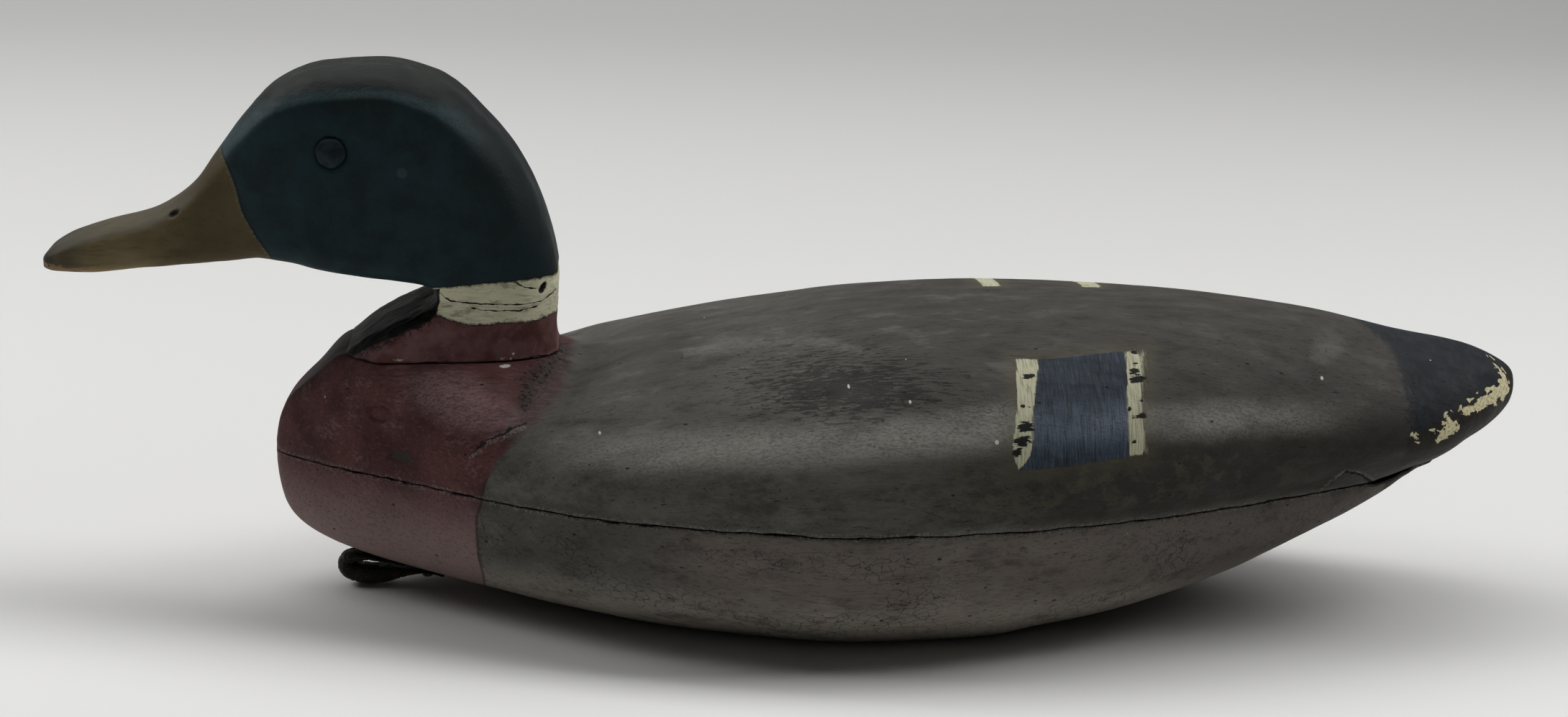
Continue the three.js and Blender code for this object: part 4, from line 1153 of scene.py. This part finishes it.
    # Painted shade over dark paint: darkest next to the ridge, where the head shades the ramp most
    ramp_coat = p.mix(p.step(ramp_field, 2, 8), RAMP_HOLLOW_SHADE, RAMP_GREY_AND_SHADE)
    ramp_coat = p.mix(p.both(p.step(brushed, 0.52, 0.68), 0.35), ramp_coat, tint(70, 67, 64))
    ridge = p.both(p.step(p.math("ABSOLUTE", ramp_field), 2.2, 0.8), p.cracks(1.8, 0.3, shift=23), p.step(fine, 0.42, 0.5))
    colour = p.mix(ramp, colour, ramp_coat)
    colour = p.mix(p.both(ridge, 0.8), colour, OLD_BLACK)

    thin = p.step(p.noise(3, detail=2.0, shift=35), 0.35, 0.65, 0.06, 0.24)
    line = p.math("ABSOLUTE", p.wobble(p.field("crack"), 2, 1.2, 36))
    crack = p.both(p.step(p.math("DIVIDE", line, thin), 1.2, 0.8), p.field("cracked"))
    gouge = p.step(p.wobble(p.field("gouge"), 1.5, 0.6, 20), 0.0, 0.2)
    seat_away = p.wobble(p.math("SUBTRACT", p.z, FOOT), 3, 1.4, 21)
    seat = p.both(p.step(seat_away, 0.4, 0.15), p.step(p.noise(6, (3, 1, 1), shift=49), 0.4, 0.5, 0.35, 1))
    dark = p.either(crack, gouge, seat)
    colour = p.mix(dark, colour, CRACK_BLACK)
    fleck = p.both(p.step(seat_away, 1.1, 0.7), p.step(p.noise(3, (2, 1, 1), shift=47), 0.62, 0.64))
    colour = p.mix(p.without(fleck, dark), colour, CREAM_DULL)
    # Painted shade in the groove round the eye tack, broken up
    groove = p.step(p.math("ABSOLUTE", p.math("SUBTRACT", p.field("eye"), EYE_RADIUS + 0.2)), 0.6, 0.1)
    colour = p.mix(p.both(groove, p.step(p.noise(2.5, shift=50), 0.4, 0.6), 0.4), colour, OLD_BLACK)
    dots = p.specks(9, 0.24, 0.3, 45)
    colour = p.mix(p.either(p.both(dots, 0.6), p.spots(HEAD_DOTS)), colour, DUST)

    height = p.math("MULTIPLY_ADD", brushed, 0.35, p.math("MULTIPLY", fine, 0.4))
    height = p.math("MULTIPLY_ADD", along, p.both(ring, 0.7), height)
    height = p.math("MULTIPLY_ADD", dark, -1.4, height)
    return p.finish(colour, p.step(blotch, 0.3, 0.7, 0.5, 0.62), height, 0.25, 0.12)


def tack_paint(name):
    p = Paint(name)
    blotch = p.noise(2.5, detail=4.0, shift=3)
    colour = p.mix(p.step(blotch, 0.4, 0.65), tint(18, 28, 31), tint(34, 47, 50))
    return p.finish(colour, p.step(blotch, 0.3, 0.7, 0.5, 0.62), p.noise(0.7, detail=3.0, shift=7), 0.2, 0.1)


def leather(name):
    p = Paint(name)
    blotch = p.noise(4, detail=4.0, shift=3)
    pores = p.cracks(1.1, 0.14, (1.6, 1, 1), 5)
    colour = p.mix(p.step(blotch, 0.35, 0.65), tint(30, 26, 23), tint(52, 44, 38))
    colour = p.mix(p.both(pores, 0.7), colour, tint(14, 13, 12))
    height = p.math("MULTIPLY_ADD", pores, -0.6, p.noise(0.5, detail=4.0, shift=9))
    return p.finish(colour, p.step(blotch, 0.3, 0.7, 0.45, 0.65), height, 0.25)


def bare_steel(name):
    p = Paint(name)
    blotch = p.noise(0.9, detail=4.0, shift=3)
    colour = p.mix(p.step(blotch, 0.45, 0.62), tint(190, 186, 178), tint(110, 88, 70))
    p.shader.inputs["Metallic"].default_value = 0.9
    return p.finish(colour, p.step(blotch, 0.3, 0.7, 0.3, 0.6), blotch, 0.1, specular=0.5)


# Camera, as the photograph was taken
FRAME_WIDTH = 2180
SENSOR = 36.0
FOCAL_PIXELS = 4000
CAMERA_PLACE = Vector((89.73 - CENTRE_AFT, -808.31, 270.53)) * MM
CAMERA_YAW = math.radians(4.0)
CAMERA_PITCH = math.radians(14.004)
CAMERA_ROLL = math.radians(1.6505)


def make_camera():
    camera = bpy.data.objects.new("camera", bpy.data.cameras.new("camera"))
    camera.data.sensor_width = SENSOR
    camera.data.lens = FOCAL_PIXELS / FRAME_WIDTH * SENSOR
    forward = Vector((
        math.sin(CAMERA_YAW) * math.cos(CAMERA_PITCH),
        math.cos(CAMERA_YAW) * math.cos(CAMERA_PITCH),
        -math.sin(CAMERA_PITCH),
    ))
    right = Vector((math.cos(CAMERA_YAW), -math.sin(CAMERA_YAW), 0))
    up = right.cross(forward)
    rolled = right * math.cos(CAMERA_ROLL) + up * math.sin(CAMERA_ROLL)
    upright = up * math.cos(CAMERA_ROLL) - right * math.sin(CAMERA_ROLL)
    turn = Matrix((rolled, upright, -forward)).transposed().to_4x4()
    camera.matrix_world = Matrix.Translation(CAMERA_PLACE) @ turn
    bpy.context.scene.collection.objects.link(camera)
    bpy.context.scene.camera = camera


# Pale seamless sweep and soft studio light. Tones of the paper, which paint its shade away from the light, are
# (distance back in metres, grey).
SWEEP_TONES = [(-0.2, 0.78), (0.05, 0.64), (0.5, 0.6), (1.3, 0.62)]


def sweep_paper():
    """White paper with painted shade: it greys away from the light."""
    material = bpy.data.materials.new("sweep_paper")
    material.use_nodes = True
    tree = material.node_tree
    shader = tree.nodes["Principled BSDF"]
    place = tree.nodes.new("ShaderNodeTexCoord").outputs["Object"]
    split = tree.nodes.new("ShaderNodeSeparateXYZ")
    tree.links.new(place, split.inputs[0])
    reach = tree.nodes.new("ShaderNodeMapRange")
    tree.links.new(split.outputs["Y"], reach.inputs["Value"])
    reach.inputs["From Min"].default_value = SWEEP_TONES[0][0]
    reach.inputs["From Max"].default_value = SWEEP_TONES[-1][0]
    tones = tree.nodes.new("ShaderNodeValToRGB")
    tree.links.new(reach.outputs[0], tones.inputs["Fac"])
    first, last = SWEEP_TONES[0][0], SWEEP_TONES[-1][0]
    stops = tones.color_ramp.elements
    while len(stops) < len(SWEEP_TONES):
        stops.new(0.5)
    for stop, (place, tone) in zip(stops, SWEEP_TONES):
        stop.position = (place - first) / (last - first)
        stop.color = (tone, tone * 0.995, tone * 0.975, 1)
    tree.links.new(tones.outputs["Color"], shader.inputs["Base Color"])
    shader.inputs["Roughness"].default_value = 0.95
    shader.inputs["Specular IOR Level"].default_value = 0.1
    return material


def make_stage():
    turn = np.linspace(0, math.pi / 2, 24)
    profile = [(-9, 0)] + [(1.2 + 1.2 * math.sin(a), 1.2 * (1 - math.cos(a))) for a in turn]
    profile.append((2.4, 4))
    points = [(x, y, z) for y, z in profile for x in (-9, 9)]
    faces = [(2 * i, 2 * i + 1, 2 * i + 3, 2 * i + 2) for i in range(len(profile) - 1)]
    mesh = bpy.data.meshes.new("sweep")
    mesh.from_pydata(points, [], faces)
    mesh.shade_smooth()
    sweep = bpy.data.objects.new("sweep", mesh)
    bpy.context.scene.collection.objects.link(sweep)
    sweep.data.materials.append(sweep_paper())


def area_light(name, place, aim, width, depth, power, spread=180):
    light = bpy.data.lights.new(name, "AREA")
    light.shape = "RECTANGLE"
    light.size = width
    light.size_y = depth
    light.spread = math.radians(spread)
    light.energy = power
    lamp = bpy.data.objects.new(name, light)
    lamp.location = place
    lamp.rotation_euler = (Vector(aim) - Vector(place)).to_track_quat("-Z", "Y").to_euler()
    bpy.context.scene.collection.objects.link(lamp)


def make_light():
    world = bpy.data.worlds.new("studio")
    world.use_nodes = True
    world.node_tree.nodes["Background"].inputs["Color"].default_value = (0.95, 0.98, 1, 1)
    world.node_tree.nodes["Background"].inputs["Strength"].default_value = 0.03
    bpy.context.scene.world = world
    bpy.context.scene.view_settings.view_transform = "Standard"
    area_light("strip", (0.1, 0.35, 1.3), (0, 0, 0), 3.6, 0.45, 22.5)
    area_light("left", (-1.1, 0.2, 1.0), (0, 0, 0), 0.6, 0.8, 8)
    area_light("right", (1.1, 0.12, 1.0), (0, 0, 0), 0.6, 0.8, 7)
    area_light("back", (0.1, 1.7, 1.3), (0, 1.2, 0), 3.0, 0.4, 5.8)
    area_light("floor_in_front", (0, -2.3, 1.6), (0, -2.3, 0), 6.0, 1.2, 15, 100)
    area_light("floor_at_left", (-3.6, 0, 1.6), (-3.6, 0, 0), 3.0, 2.0, 10, 100)
    area_light("floor_at_right", (3.6, 0, 1.6), (3.6, 0, 0), 3.0, 2.0, 10, 100)


PIECES = [
    (make_upper_body(), "upper_body", "painted_wood_body", board_paint("upper_board_paint")),
    (make_lower_body(), "lower_body", "painted_wood_body", board_paint("lower_board_paint")),
    (make_head(), "head", "painted_wood_head", head_paint("head_block_paint")),
    (make_tack("left_eye_tack", -1), "left_eye_tack", "painted_tack", tack_paint("left_tack_paint")),
    (make_tack("right_eye_tack", 1), "right_eye_tack", "painted_tack", tack_paint("right_tack_paint")),
    (make_thong(), "line_tie_loop", "thong", leather("thong_leather")),
    (make_nail(), "line_tie_nail", "nail", bare_steel("nail_steel")),
]
for piece, node, slot, material in PIECES:
    piece.data.materials.append(material)
    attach(piece, "root")
    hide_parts(node)
make_camera()
make_stage()
make_light()
